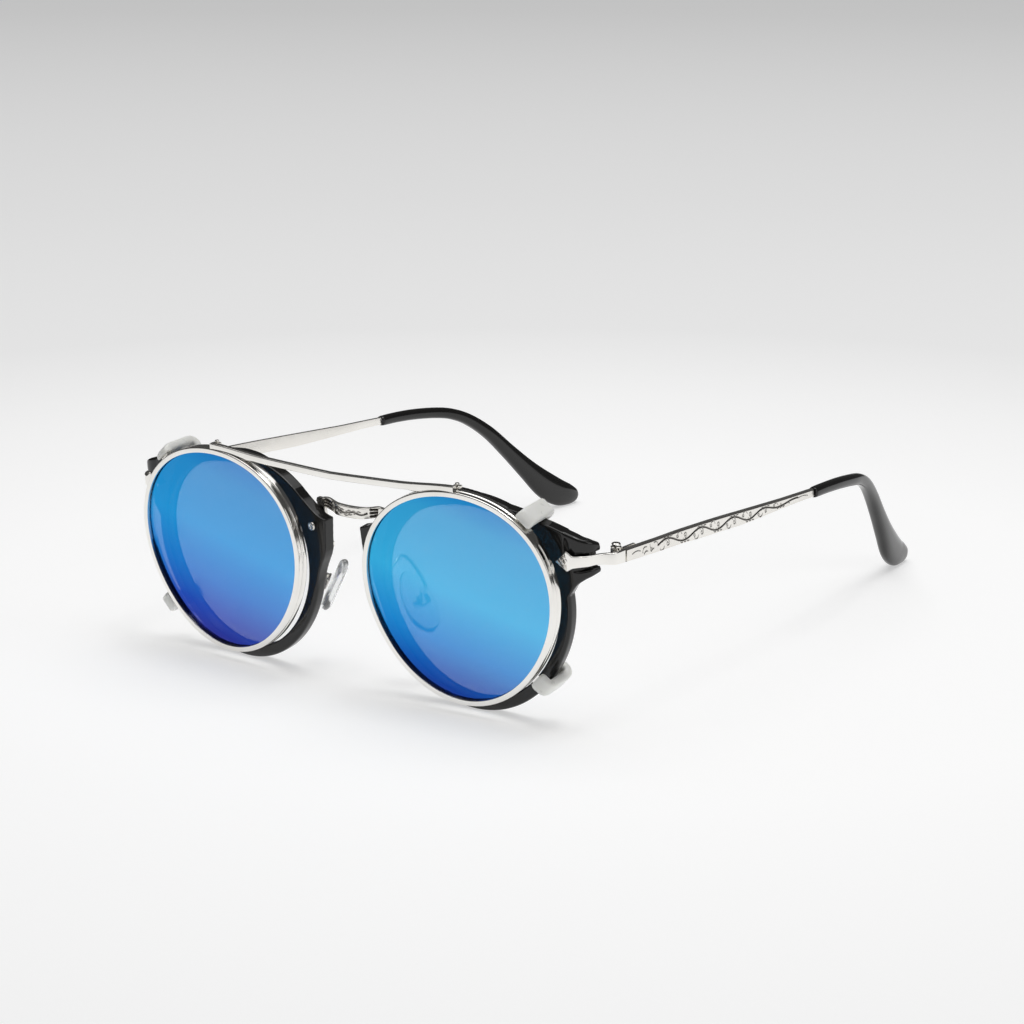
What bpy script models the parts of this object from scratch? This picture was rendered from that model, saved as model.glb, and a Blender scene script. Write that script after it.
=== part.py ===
"""Eyeglasses with a clip-on sun lens frame, built as separate pieces.

World frame: metres, +X to the wearer's left, +Y towards the ears, +Z up, floor at z = 0.
Most dimensions below are in millimetres and pass through MM when a mesh is made.

The front pieces live in tilted frames, one per lens: x runs from the lens centre to the
temple side, v runs from the clip lens back to the eye, z runs up from the lens centre.
"""
import math

import bmesh
import bpy
from mathutils import Matrix, Vector

MM = 0.001
GAP = 0.3

# ---- driving dimensions (mm, degrees) ----
LENS_CENTRE_X = 32.5
LENS_CENTRE_Z = 26.9
FRONT_TILT = math.radians(5.5)
FACE_WRAP = math.radians(3.4)
ORIGIN_Y = 80.63

CLIP_OPENING_R = 22.5
CLIP_LOBE = 0.029
CLIP_RIM_WIDTH = 1.2
CLIP_RIM_DEPTH = 2.8

RIM_OUTER_R = 24.3
RIM_INNER_R = 21.6
RIM_LOBE = 0.025
RIM_CENTRE_Z = -2.6
RIM_FRONT = 5.2
RIM_BACK = 8.2
LENS_GROOVE = 0.6
LENS_THICKNESS = 1.6

RING_STEPS = 48

HINGE_X = 61.9
HINGE_Y = 12.6
HINGE_Z = 37.6
TEMPLE_THICKNESS = 1.0

BLACK = ("black_acetate", (0.012, 0.012, 0.014), 0.12, 0.0)
SILVER = ("polished_silver", (0.80, 0.79, 0.76), 0.16, 1.0)
ENGRAVED = ("engraved_silver", (0.72, 0.70, 0.66), 0.30, 1.0)
BLUE = ("blue_mirror_lens", (0.05, 0.30, 0.80), 0.06, 0.4)
CLEAR = ("clear_lens", (0.90, 0.93, 0.95), 0.05, 0.0)
PAD = ("clear_pad", (0.88, 0.88, 0.87), 0.15, 0.0)
SILICONE = ("milky_silicone", (0.82, 0.82, 0.78), 0.35, 0.0)


# ---- scene, collections, materials ----
def clear_scene():
    for obj in list(bpy.data.objects):
        bpy.data.objects.remove(obj, do_unlink=True)


def new_collection(name):
    collection = bpy.data.collections.new(name)
    bpy.context.scene.collection.children.link(collection)
    return collection


def material(spec):
    name, colour, roughness, metallic = spec
    mat = bpy.data.materials.get(name)
    if mat is None:
        mat = bpy.data.materials.new(name)
        mat.use_nodes = True
        shader = mat.node_tree.nodes["Principled BSDF"]
        shader.inputs["Base Color"].default_value = (*colour, 1.0)
        shader.inputs["Roughness"].default_value = roughness
        shader.inputs["Metallic"].default_value = metallic
        mat.diffuse_color = (*colour, 1.0)
    return mat


clear_scene()
PARTS = new_collection("clip_on_glasses")
CUTTERS = new_collection("cutters")


def frame_empty(name, location, rotation, parent=None):
    """An empty whose local axes are the frame that its children are drawn in (mm location)."""
    empty = bpy.data.objects.new(name, None)
    PARTS.objects.link(empty)
    empty.location = Vector(location) * MM
    empty.rotation_euler = rotation
    empty.parent = parent
    return empty


def link(name, mesh, spec, parent, cutter=False):
    obj = bpy.data.objects.new(name, mesh)
    (CUTTERS if cutter else PARTS).objects.link(obj)
    if spec:
        mesh.materials.clear()
        mesh.materials.append(material(spec))
    obj.parent = parent
    obj.hide_render = cutter
    if cutter:
        obj.display_type = "WIRE"
    return obj


def finish_mesh(bm, name, smooth=40):
    bmesh.ops.remove_doubles(bm, verts=bm.verts, dist=1e-6)
    bmesh.ops.recalc_face_normals(bm, faces=bm.faces)
    mesh = bpy.data.meshes.new(name)
    bm.to_mesh(mesh)
    bm.free()
    mesh.shade_smooth()
    mesh.set_sharp_from_angle(angle=math.radians(smooth))
    return mesh


def to_mesh(obj):
    """Replace a curve object with the mesh that it evaluates to, its caps welded."""
    bpy.context.view_layer.update()
    evaluated = obj.evaluated_get(bpy.context.evaluated_depsgraph_get())
    mesh = bpy.data.meshes.new_from_object(evaluated)
    bm = bmesh.new()
    bm.from_mesh(mesh)
    curve = obj.data
    name = obj.name
    bpy.data.objects.remove(obj, do_unlink=True)
    bpy.data.curves.remove(curve)
    bpy.data.meshes.remove(mesh)
    return finish_mesh(bm, name)


# ---- shape makers ----
def poly_spline(curve, points, cyclic):
    spline = curve.splines.new("POLY")
    spline.points.add(len(points) - 1)
    for spline_point, point in zip(spline.points, points):
        spline_point.co = (*(c * MM for c in point), 1.0)
    spline.use_cyclic_u = cyclic
    return spline


def loft(sections, name):
    """One closed body through rings of points (mm), capped at both ends."""
    bm = bmesh.new()
    rings = [[bm.verts.new(Vector(p) * MM) for p in ring] for ring in sections]
    count = len(rings[0])
    for first, second in zip(rings, rings[1:]):
        for i in range(count):
            j = (i + 1) % count
            bm.faces.new((first[i], first[j], second[j], second[i]))
    bm.faces.new(rings[0])
    bm.faces.new(reversed(rings[-1]))
    return finish_mesh(bm, name)


def tube(points, radius, name, sides=8):
    """A round wire along points (mm)."""
    curve = bpy.data.curves.new(name, "CURVE")
    curve.dimensions = "3D"
    curve.bevel_depth = radius * MM
    curve.bevel_resolution = sides // 4
    curve.use_fill_caps = True
    poly_spline(curve, points, False)
    obj = bpy.data.objects.new(name, curve)
    PARTS.objects.link(obj)
    return to_mesh(obj)


def smooth_path(points, per_span=6):
    """Catmull-Rom points through the given points."""
    pts = [Vector(p) for p in points]
    pts = [2 * pts[0] - pts[1]] + pts + [2 * pts[-1] - pts[-2]]
    out = []
    for a, b, c, d in zip(pts, pts[1:], pts[2:], pts[3:]):
        for step in range(per_span):
            t = step / per_span
            out.append(0.5 * (2 * b + (c - a) * t + (2 * a - 5 * b + 4 * c - d) * t * t
                              + (3 * b - a - 3 * c + d) * t ** 3))
    out.append(pts[-2])
    return out


def cylinder(radius, length, name, sides=20):
    """A cylinder along local z, centred on its origin."""
    bm = bmesh.new()
    bmesh.ops.create_cone(bm, cap_ends=True, segments=sides, radius1=radius * MM,
                          radius2=radius * MM, depth=length * MM)
    return finish_mesh(bm, name)


def turned(profile, name, sides=24):
    """A solid of revolution about local z from (radius, height) points, both ends on the axis."""
    bm = bmesh.new()
    verts = [bm.verts.new((r * MM, 0.0, z * MM)) for r, z in profile]
    edges = [bm.edges.new(pair) for pair in zip(verts, verts[1:])]
    bmesh.ops.spin(bm, geom=verts + edges, cent=(0, 0, 0), axis=(0, 0, 1), angle=math.tau,
                   steps=sides, use_merge=True)
    return finish_mesh(bm, name)


def boolean(obj, other, operation):
    mod = obj.modifiers.new(operation.lower(), "BOOLEAN")
    mod.operation = operation
    mod.object = other
    mod.solver = "EXACT"


def lobed(radius, lobe, angle):
    """Radius of the rounded three-lobed lens shape: flat top, full bottom."""
    return radius * (1 + lobe * math.sin(3 * angle))


def lens_ring(profile, radius, lobe, centre_z, name):
    """Sweep a closed (outward, v) profile around the lens shape. Local x, -v, z axes."""
    path = bpy.data.curves.new(name, "CURVE")
    path.dimensions = "2D"
    path.fill_mode = "NONE"
    points = []
    for step in range(RING_STEPS):
        angle = math.tau * step / RING_STEPS
        r = lobed(radius, lobe, angle)
        points.append((r * math.cos(angle), centre_z + r * math.sin(angle), 0.0))
    poly_spline(path, points, True)
    section = bpy.data.curves.new(name + "_section", "CURVE")
    section.dimensions = "2D"
    section.fill_mode = "NONE"
    poly_spline(section, [(-out, -v, 0.0) for out, v in profile], True)
    section_obj = bpy.data.objects.new(name + "_section", section)
    PARTS.objects.link(section_obj)
    path.bevel_mode = "OBJECT"
    path.bevel_object = section_obj
    obj = bpy.data.objects.new(name, path)
    PARTS.objects.link(obj)
    mesh = to_mesh(obj)
    bpy.data.objects.remove(section_obj, do_unlink=True)
    bpy.data.curves.remove(section)
    mesh.transform(Matrix.Rotation(math.pi / 2, 4, "X"))
    return mesh


def lens_disc(radius, lobe, centre_z, v_front, v_back, name):
    """A flat lens blank of the lens shape between two depths, with a small edge chamfer."""
    chamfer = 0.3
    sections = []
    for inset, v in ((chamfer, v_front), (0, v_front + chamfer), (0, v_back - chamfer),
                     (chamfer, v_back)):
        ring = []
        for step in range(RING_STEPS):
            angle = math.tau * step / RING_STEPS
            r = lobed(radius, lobe, angle) - inset
            ring.append((r * math.cos(angle), v, centre_z + r * math.sin(angle)))
        sections.append(ring)
    return loft(sections, name)


def prism(outline, v_front, v_back, side, name):
    """Extrude an (x, z) outline between two depths."""
    return loft([[(side * x, v, z) for x, z in outline] for v in (v_front, v_back)], name)


def plan_wall(stations, side, name):
    """Loft upright rectangular sections: each station is (outer xv, inner xv, z low, z high)."""
    sections = []
    for (xo, vo), (xi, vi), low, high in stations:
        sections.append([(side * xo, vo, low), (side * xi, vi, low),
                         (side * xi, vi, high), (side * xo, vo, high)])
    return loft(sections, name)


# ---- frames ----
FRONT = frame_empty("front_frame", (0, -ORIGIN_Y, 0), (FRONT_TILT, 0, 0))
BROW = frame_empty("brow_frame", (0, 0, LENS_CENTRE_Z), (0, 0, 0), FRONT)
WORLD = frame_empty("world_frame", (0, -ORIGIN_Y, 0), (0, 0, 0))
SIDES = ((1, "left"), (-1, "right"))
LENS_FRAME = {}
for SIDE, SUFFIX in SIDES:
    LENS_FRAME[SIDE] = frame_empty(
        "lens_frame_" + SUFFIX, (SIDE * LENS_CENTRE_X, 0, LENS_CENTRE_Z),
        (0, 0, SIDE * FACE_WRAP), FRONT)


def from_lens(side, x, v, z):
    """A lens-frame point in the untilted frame, in mm."""
    wrap = Matrix.Rotation(side * FACE_WRAP, 3, "Z")
    tilt = Matrix.Rotation(FRONT_TILT, 3, "X")
    centre = Vector((side * LENS_CENTRE_X, 0, LENS_CENTRE_Z))
    return tilt @ (wrap @ Vector((side * x, v, z)) + centre)


def v_axis(obj, x, v, z):
    """Lay a part that was made along local z so that it points to the front, at x, v, z."""
    obj.location = Vector((x, v, z)) * MM
    obj.rotation_euler = (math.pi / 2, 0, 0)


# ---- black rims with nasal block and forked end piece ----
SOFT_EDGE = 0.5
ARM_FRONT = RIM_FRONT + 0.1
ARM_BACK = RIM_BACK - 0.1
FORK_STEM = [(22.6, ARM_FRONT, 22.4, ARM_BACK), (25.5, ARM_FRONT, 25.2, ARM_BACK),
             (27.4, 6.0, 26.2, 8.6), (28.8, 7.6, 26.9, 9.4), (29.4, 9.8, 27.4, 10.4)]
NASAL_BLOCK_X = -27.3
NASAL_BLOCK_TOP = 10.0
NASAL_RIVET = (-23.9, 8.0)
PLATE_RIVET = (24.1, 10.2)


def rim_ring(side, suffix):
    width = RIM_OUTER_R - RIM_INNER_R
    middle = (RIM_FRONT + RIM_BACK) / 2
    groove = LENS_THICKNESS / 2 + GAP
    profile = [(0, RIM_FRONT), (width - SOFT_EDGE, RIM_FRONT), (width, RIM_FRONT + SOFT_EDGE),
               (width, RIM_BACK - SOFT_EDGE), (width - SOFT_EDGE, RIM_BACK), (0, RIM_BACK),
               (0, middle + groove), (LENS_GROOVE, middle + groove),
               (LENS_GROOVE, middle - groove), (0, middle - groove)]
    mesh = lens_ring(profile, RIM_INNER_R, RIM_LOBE, RIM_CENTRE_Z, "rim_" + suffix)
    return link("rim_" + suffix, mesh, BLACK, LENS_FRAME[side])


def nasal_block(side):
    """Outline of the brow and block on the nose side, then back along the lens opening."""
    outline = [(2.0, 21.0), (-2.0, 21.45), (-5.0, 21.4), (-7.5, 21.05), (-10.4, 20.1),
               (-15.0, 18.15), (-18.4, 15.95), (-21.1, 13.6), (-23.5, 11.7), (-25.3, 10.5),
               (NASAL_BLOCK_X + 0.3, NASAL_BLOCK_TOP), (NASAL_BLOCK_X - 0.2, NASAL_BLOCK_TOP - 0.5),
               (NASAL_BLOCK_X + 0.4, 2.2), (-26.4, 1.3), (-25.4, -0.4), (-24.2, -3.2)]
    for step in range(15):
        angle = math.radians(181 - 7 * step)
        radius = RIM_INNER_R + LENS_GROOVE + 0.8
        outline.append((radius * math.cos(angle), RIM_CENTRE_Z + radius * math.sin(angle)))
    return prism(outline, ARM_FRONT, ARM_BACK, side, "nasal_block")


def end_piece(side):
    """The forked end piece: an upper and a lower arm with a recess for the metal plate."""
    heights = [(0.1, 16.1, 11.6, 7.6, -0.6), (0.1, 15.3, 11.6, 7.6, 4.0),
               (1.2, 14.6, 11.6, 7.8, 5.6), (1.4, 14.0, 11.5, 8.0, 6.3),
               (1.4, 13.2, 11.5, 8.0, 6.7)]
    sections = []
    for (xo, vo, xi, vi), (recess, high, slot_high, slot_low, low) in zip(FORK_STEM, heights):
        outer, inner = Vector((xo, vo)), Vector((xi, vi))
        deep = outer + (inner - outer).normalized() * recess
        sections.append([(side * p.x, p.y, z) for p, z in (
            (outer, high), (outer, slot_high), (deep, slot_high), (deep, slot_low),
            (outer, slot_low), (outer, low), (inner, low), (inner, high))])
    return loft(sections, "end_piece")


def shoulder(side):
    """The brow of the rim, from its top down to the root of the upper arm."""
    front, back = ARM_FRONT + 0.04, ARM_BACK - 0.04
    stations = [((x, front), (x, back), low, high) for x, low, high in (
        (10.0, 18.4, 19.3), (13.5, 16.9, 18.6), (17.0, 13.2, 17.6), (20.0, 9.6, 16.85),
        (23.2, 6.0, 15.9))]
    return plan_wall(stations, side, "shoulder")


def rivet_hole(side, centre, radius, v_front, v_back, name):
    cutter = link(name, cylinder(radius, v_back - v_front, name, 16), None, LENS_FRAME[side], True)
    v_axis(cutter, side * centre[0], (v_front + v_back) / 2, centre[1])
    return cutter


def rim(side, suffix):
    ring = rim_ring(side, suffix)
    frame = LENS_FRAME[side]
    pieces = [nasal_block(side), shoulder(side), end_piece(side)]
    for number, mesh in enumerate(pieces):
        boolean(ring, link(f"rim_piece_{suffix}_{number}", mesh, None, frame, True), "UNION")
    boolean(ring, rivet_hole(side, NASAL_RIVET, 0.85, 4, 10, "nasal_hole_" + suffix), "DIFFERENCE")
    boolean(ring, rivet_hole(side, PLATE_RIVET, 0.8, 4, 7.6, "plate_hole_" + suffix), "DIFFERENCE")


def optical_lens(side, suffix):
    middle = (RIM_FRONT + RIM_BACK) / 2
    mesh = lens_disc(RIM_INNER_R + LENS_GROOVE - GAP, RIM_LOBE, RIM_CENTRE_Z,
                     middle - LENS_THICKNESS / 2, middle + LENS_THICKNESS / 2, "lens")
    link("lens_" + suffix, mesh, CLEAR, LENS_FRAME[side])


# ---- bridge and its rivets ----
BRIDGE = [(0.0, 6.0, 7.2, 10.4, 13.0), (3.2, 6.1, 7.3, 10.5, 13.1), (5.0, 6.9, 7.9, 10.7, 13.2),
          (6.6, 7.3, 8.3, 11.0, 13.5), (8.0, 7.4, 8.4, 11.4, 13.4), (9.1, 7.3, 8.3, 11.9, 13.1),
          (9.7, 7.2, 8.2, 12.3, 12.8)]


def bridge():
    """A strap over the nose with a foot behind each nasal block, held there by a rivet."""
    stations = [(-x, *rest) for x, *rest in reversed(BRIDGE[1:])] + BRIDGE
    bevel = 0.25
    sections = []
    for x, front, back, low, high in stations:
        sections.append([(x, front, low + bevel), (x, front, high - bevel),
                         (x, front + bevel, high), (x, back - bevel, high),
                         (x, back, high - bevel), (x, back, low + bevel),
                         (x, back - bevel, low), (x, front + bevel, low)])
    strap = link("bridge", loft(sections, "bridge"), ENGRAVED, BROW)
    for side, suffix in SIDES:
        x, z = NASAL_RIVET
        outline = [(x - 1.1, z - 1.6), (x + 1.1, z - 1.6), (x + 1.4, 13.4), (x - 0.6, 13.4)]
        mesh = prism(outline, RIM_BACK + GAP, RIM_BACK + GAP + 0.8, side, "bridge_foot")
        boolean(strap, link("bridge_foot_" + suffix, mesh, None, LENS_FRAME[side], True), "UNION")
        hole = rivet_hole(side, NASAL_RIVET, 0.85, 8, 10, "foot_hole_" + suffix)
        boolean(strap, hole, "DIFFERENCE")


def rivet(side, suffix, name, centre, head, shank, v_head, v_shoulder, v_end):
    """A rivet with its head to the front: radii of head and shank, three depths."""
    profile = [(0, -v_head), (head - 0.15, -v_head), (head, -v_head - 0.15), (head, -v_shoulder),
               (shank, -v_shoulder), (shank, -v_end), (0, -v_end)]
    obj = link(f"{name}_{suffix}", turned(profile, name, 16), SILVER, LENS_FRAME[side])
    v_axis(obj, side * centre[0], 0, centre[1])


# ---- metal end-piece plate with its diamond head ----
def end_plate(side, suffix):
    """A strap from the diamond on the rim's face, round the corner, back to the hinge."""
    front = [(22.1, 4.0, 22.2, 4.9, 9.8, 10.0), (24.6, 4.0, 24.6, 4.9, 8.0, 12.4),
             (25.9, 4.1, 25.8, 4.9, 8.8, 11.4), (27.2, 4.7, 26.8, 5.4, 9.0, 11.4),
             (28.6, 6.2, 27.9, 6.7, 8.95, 11.3), (29.6, 8.1, 28.8, 8.4, 8.9, 11.1)]
    back = [(62.9, 8.2, 62.1, 8.6, 36.35, 38.8), (64.1, 9.4, 63.3, 9.8, 36.3, 38.9),
            (64.4, HINGE_Y - GAP, 63.5, HINGE_Y - GAP, HINGE_Z - 1.4, HINGE_Z + 1.4)]
    sections = []
    for xo, vo, xi, vi, low, high in front:
        sections.append([from_lens(side, xo, vo, low), from_lens(side, xi, vi, low),
                         from_lens(side, xi, vi, high), from_lens(side, xo, vo, high)])
    for xo, yo, xi, yi, low, high in back:
        sections.append([Vector((side * xo, yo, low)), Vector((side * xi, yi, low)),
                         Vector((side * xi, yi, high)), Vector((side * xo, yo, high))])
    plate = link("end_plate_" + suffix, loft(sections, "end_plate"), SILVER, WORLD)
    hole = rivet_hole(side, PLATE_RIVET, 1.1, 3.5, 5.1, "diamond_hole_" + suffix)
    boolean(plate, hole, "DIFFERENCE")


# ---- temple hinges ----
KNUCKLE_R = 1.15
PIN_R = 0.42
KNUCKLES = {"low": (36.0, 36.9), "middle": (37.2, 38.1), "high": (38.4, 39.2)}


def leaf(side, suffix, name, toward, names, plate_ends):
    """A hinge leaf: a plate on the inside of the strap with knuckles round the pin."""
    x_in, x_out = 62.3, 62.9
    near, far = plate_ends
    low = min(KNUCKLES[n][0] for n in names)
    high = max(KNUCKLES[n][1] for n in names)
    low, high = min(low, HINGE_Z - 1.2), max(high, HINGE_Z + 1.2)
    plate = loft([[(side * x_in, y, low), (side * x_out, y, low), (side * x_out, y, high),
                   (side * x_in, y, high)] for y in (near, far)], name)
    obj = link(f"{name}_{suffix}", plate, SILVER, WORLD)
    for knuckle in names:
        z_low, z_high = KNUCKLES[knuckle]
        eye = link(f"{name}_{knuckle}_{suffix}", cylinder(KNUCKLE_R, z_high - z_low, "eye", 20),
                   None, WORLD, True)
        eye.location = Vector((side * HINGE_X, HINGE_Y, (z_low + z_high) / 2)) * MM
        boolean(obj, eye, "UNION")
        tail_end = near + 0.4 * (far - near)
        tail = loft([[(side * (HINGE_X - 0.1), y, z_low), (side * x_out, y, z_low),
                      (side * x_out, y, z_high), (side * (HINGE_X - 0.1), y, z_high)]
                     for y in (HINGE_Y + toward * 0.9, tail_end)], "tail")
        boolean(obj, link(f"{name}_{knuckle}_tail_{suffix}", tail, None, WORLD, True), "UNION")
    bore = link(f"{name}_bore_{suffix}", cylinder(PIN_R + GAP, 12, "bore", 16), None, WORLD, True)
    bore.location = Vector((side * HINGE_X, HINGE_Y, HINGE_Z)) * MM
    boolean(obj, bore, "DIFFERENCE")


def hinge_screw(side, suffix):
    top = KNUCKLES["high"][1] + GAP
    profile = [(0, top + 0.5), (0.8, top + 0.5), (1.0, top + 0.3), (1.0, top), (PIN_R, top),
               (PIN_R, KNUCKLES["low"][0]), (0, KNUCKLES["low"][0])]
    obj = link("hinge_screw_" + suffix, turned(profile, "hinge_screw", 16), SILVER, WORLD)
    obj.location = Vector((side * HINGE_X, HINGE_Y, 0)) * MM


# ---- temples and their tips ----
TEMPLE = [(63.9, HINGE_Y + GAP, 37.6, 2.8), (63.9, 19, 37.4, 2.9), (63.8, 26, 37.1, 3.0),
          (63.7, 34, 36.85, 3.1), (63.6, 42.5, 36.4, 3.3), (63.4, 51, 35.95, 3.3),
          (63.3, 60, 35.45, 3.2), (63.15, 69, 35.1, 2.8), (63.0, 78, 34.8, 2.3),
          (62.9, 87, 34.55, 2.0), (62.8, 93.6, 34.3, 1.9)]
TANG = [(62.8, 93.8, 34.3, 1.2), (62.6, 99.0, 34.2, 1.1), (62.35, 104.0, 34.0, 1.0)]
TIP = [(62.8, 94.0, 34.2, 2.2, 2.0), (62.75, 94.8, 34.2, 2.7, 2.5), (62.6, 100, 34.1, 2.8, 2.6),
       (62.2, 107, 33.7, 2.9, 2.8), (61.4, 115, 32.8, 3.0, 2.9), (60.3, 121, 31.6, 3.1, 3.0),
       (59.0, 127, 29.1, 3.3, 3.1), (57.3, 133.5, 24.7, 3.7, 3.3), (55.7, 140.2, 18.7, 4.4, 3.4),
       (54.1, 147, 12.5, 5.8, 3.6), (52.7, 153, 7.4, 7.6, 3.7), (51.7, 158, 4.3, 7.6, 3.7),
       (51.1, 162, 2.95, 6.25, 3.4), (50.8, 165, 2.2, 4.1, 2.7), (50.7, 166.3, 1.9, 1.8, 1.5)]


def strip_section(side, x, y, z, height, thickness):
    dx, dz = thickness / 2, height / 2
    bevel = min(0.2, dz / 2, dx / 2)
    return [(side * (x + a), y, z + b) for a, b in (
        (-dx, -dz + bevel), (-dx + bevel, -dz), (dx - bevel, -dz), (dx, -dz + bevel),
        (dx, dz - bevel), (dx - bevel, dz), (-dx + bevel, dz), (-dx, dz - bevel))]


def temple(side, suffix):
    path = smooth_path([(x, y, z) for x, y, z, _ in TEMPLE], 3)
    heights = smooth_path([(h, 0, 0) for *_, h in TEMPLE], 3)
    sections = [strip_section(side, *p, h.x, TEMPLE_THICKNESS) for p, h in zip(path, heights)]
    sections += [strip_section(side, x, y, z, h, 0.7) for x, y, z, h in TANG]
    link("temple_" + suffix, loft(sections, "temple"), ENGRAVED, WORLD)


def tip_section(side, centre, slope, height, thickness, count=14):
    """A rounded section square to the tip's run in the side view."""
    up = Vector((0, -math.sin(slope), math.cos(slope)))
    points = []
    for step in range(count):
        angle = math.tau * step / count
        c, s = math.cos(angle), math.sin(angle)
        across = math.copysign(abs(c) ** 0.8, c) * thickness / 2
        along = math.copysign(abs(s) ** 0.8, s) * height / 2
        point = Vector(centre) + Vector((across, 0, 0)) + up * along
        points.append((side * point.x, point.y, point.z))
    return points


def temple_tip(side, suffix):
    """The black ear piece: it bends down and widens into the paddle that stands on the floor."""
    path = smooth_path([(x, y, z) for x, y, z, _, _ in TIP], 2)
    sizes = smooth_path([(h, t, 0) for *_, h, t in TIP], 2)
    sections = []
    for i, (point, size) in enumerate(zip(path, sizes)):
        before, after = path[max(i - 1, 0)], path[min(i + 1, len(path) - 1)]
        slope = math.atan2(after.z - before.z, after.y - before.y)
        sections.append(tip_section(side, point, slope, size.x, size.y))
    tip = link("temple_tip_" + suffix, loft(sections, "temple_tip"), BLACK, WORLD)
    socket = [strip_section(side, x, y, z, h + 2 * GAP, 0.7 + 2 * GAP) for x, y, z, h in
              [(62.82, 93.0, 34.3, 1.2)] + TANG[1:] + [(62.3, 104.6, 33.97, 1.0)]]
    boolean(tip, link("tang_socket_" + suffix, loft(socket, "socket"), None, WORLD, True),
            "DIFFERENCE")


# ---- nose pads ----
PAD_CENTRE = Vector((11.6, 13.6, -9.4))
PAD_UP = Vector((-0.5, 0.0, 0.866))
PAD_FACE = Vector((-0.75, 0.5, -0.433))
PAD_ACROSS = PAD_UP.cross(PAD_FACE).normalized()
PAD_HALF_LENGTH = 7.2
PAD_HALF_WIDTH = 3.5
PAD_THICKNESS = 2.4
PIVOT = PAD_CENTRE - PAD_FACE.normalized() * (PAD_THICKNESS / 2 + GAP + 1.65)


def pad_point(side, origin, across, up, out):
    point = origin + PAD_ACROSS * across + PAD_UP.normalized() * up + PAD_FACE.normalized() * out
    return (side * point.x, point.y, point.z)


def nose_pad(side, suffix):
    sections = []
    for out, grow in ((-1.2, 0.72), (-0.8, 0.95), (0.1, 1.0), (0.8, 0.86), (1.2, 0.55)):
        ring = []
        for step in range(20):
            angle = math.tau * step / 20
            taper = 1 - 0.18 * math.sin(angle)
            ring.append(pad_point(side, PAD_CENTRE, PAD_HALF_WIDTH * grow * taper * math.cos(angle),
                                  PAD_HALF_LENGTH * (grow ** 0.6) * math.sin(angle), out))
        sections.append(ring)
    link("nose_pad_" + suffix, loft(sections, "nose_pad"), PAD, BROW)


def box_loft(side, origin, across, up, out, name):
    """A box in the pad's axes: three (low, high) ranges from an origin."""
    sections = []
    for o in out:
        sections.append([pad_point(side, origin, a, u, o) for a, u in (
            (across[0], up[0]), (across[1], up[0]), (across[1], up[1]), (across[0], up[1]))])
    return loft(sections, name)


def across_axis(obj, side, origin, shift):
    """Lay a part that was made along local z along the pad's width."""
    axis = Vector((side * PAD_ACROSS.x, PAD_ACROSS.y, PAD_ACROSS.z))
    place = origin + PAD_ACROSS * shift
    obj.location = Vector((side * place.x, place.y, place.z)) * MM
    obj.rotation_mode = "QUATERNION"
    obj.rotation_quaternion = axis.to_track_quat("Z", "Y")


def pad_mount(side, suffix):
    """The metal box moulded to the pad: a base with two cheeks, and the screw through them."""
    box = link("pad_box_" + suffix, box_loft(side, PIVOT, (-1.5, 1.5), (-1.3, 1.3), (1.2, 1.65),
                                             "pad_box"), SILVER, BROW)
    for number, cheek in enumerate(((-1.44, -0.92), (0.92, 1.44))):
        mesh = box_loft(side, PIVOT, cheek, (-1.15, 1.15), (-1.0, 1.43), "cheek")
        boolean(box, link(f"cheek_{suffix}_{number}", mesh, None, BROW, True), "UNION")
    bore = link("pad_bore_" + suffix, cylinder(0.62, 6, "pad_bore", 12), None, BROW, True)
    across_axis(bore, side, PIVOT, 0)
    boolean(box, bore, "DIFFERENCE")
    profile = [(0, 2.3), (0.6, 2.3), (0.8, 2.1), (0.8, 1.8), (0.32, 1.8), (0.32, -1.7), (0, -1.7)]
    screw = link("pad_screw_" + suffix, turned(profile, "pad_screw", 12), SILVER, BROW)
    across_axis(screw, side, PIVOT, 0)


def pad_arm(side, suffix):
    """A wire from the back of the rim that loops down to an eye between the box's cheeks."""
    root = Vector((9.9, 7.3, 0.4))
    eye_side = PIVOT - PAD_FACE.normalized() * 0.75
    points = [root, (9.7, 8.8, 0.9), (9.6, 10.8, 1.6), (10.4, 12.6, 0.6), (12.4, 13.2, -2.2),
              (14.1, 13.2, -5.2), PIVOT - PAD_FACE.normalized() * 1.7 + PAD_UP * 1.4,
              eye_side]
    points = [(side * Vector(p).x, Vector(p).y, Vector(p).z) for p in smooth_path(points, 4)]
    arm = link("pad_arm_" + suffix, tube(points, 0.45, "pad_arm"), SILVER, BROW)
    eye = link("pad_eye_" + suffix, cylinder(0.9, 1.2, "pad_eye", 16), None, BROW, True)
    across_axis(eye, side, PIVOT, 0)
    boolean(arm, eye, "UNION")
    bore = link("pad_eye_bore_" + suffix, cylinder(0.62, 3, "pad_eye_bore", 12), None, BROW, True)
    across_axis(bore, side, PIVOT, 0)
    boolean(arm, bore, "DIFFERENCE")


# ---- clip-on sun lens frame ----
def clip_rim(side, suffix):
    """A thin metal rim: a lip in front of the lens and a shallow groove round its outside."""
    width, depth = CLIP_RIM_WIDTH, CLIP_RIM_DEPTH
    lip = 0.5
    profile = [(0, 0.15), (0.15, 0), (width - 0.25, 0), (width, 0.25), (width, 1.2),
               (width - 0.2, 1.4), (width, 1.6), (width, depth - 0.2), (width - 0.2, depth),
               (lip, depth), (lip, lip), (0, lip)]
    mesh = lens_ring(profile, CLIP_OPENING_R, CLIP_LOBE, 0, "clip_rim_" + suffix)
    link("clip_rim_" + suffix, mesh, SILVER, LENS_FRAME[side])


def clip_lens(side, suffix):
    mesh = lens_disc(CLIP_OPENING_R + 0.2, CLIP_LOBE, 0, 0.8, 2.2, "clip_lens")
    link("clip_lens_" + suffix, mesh, BLUE, LENS_FRAME[side])


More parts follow.
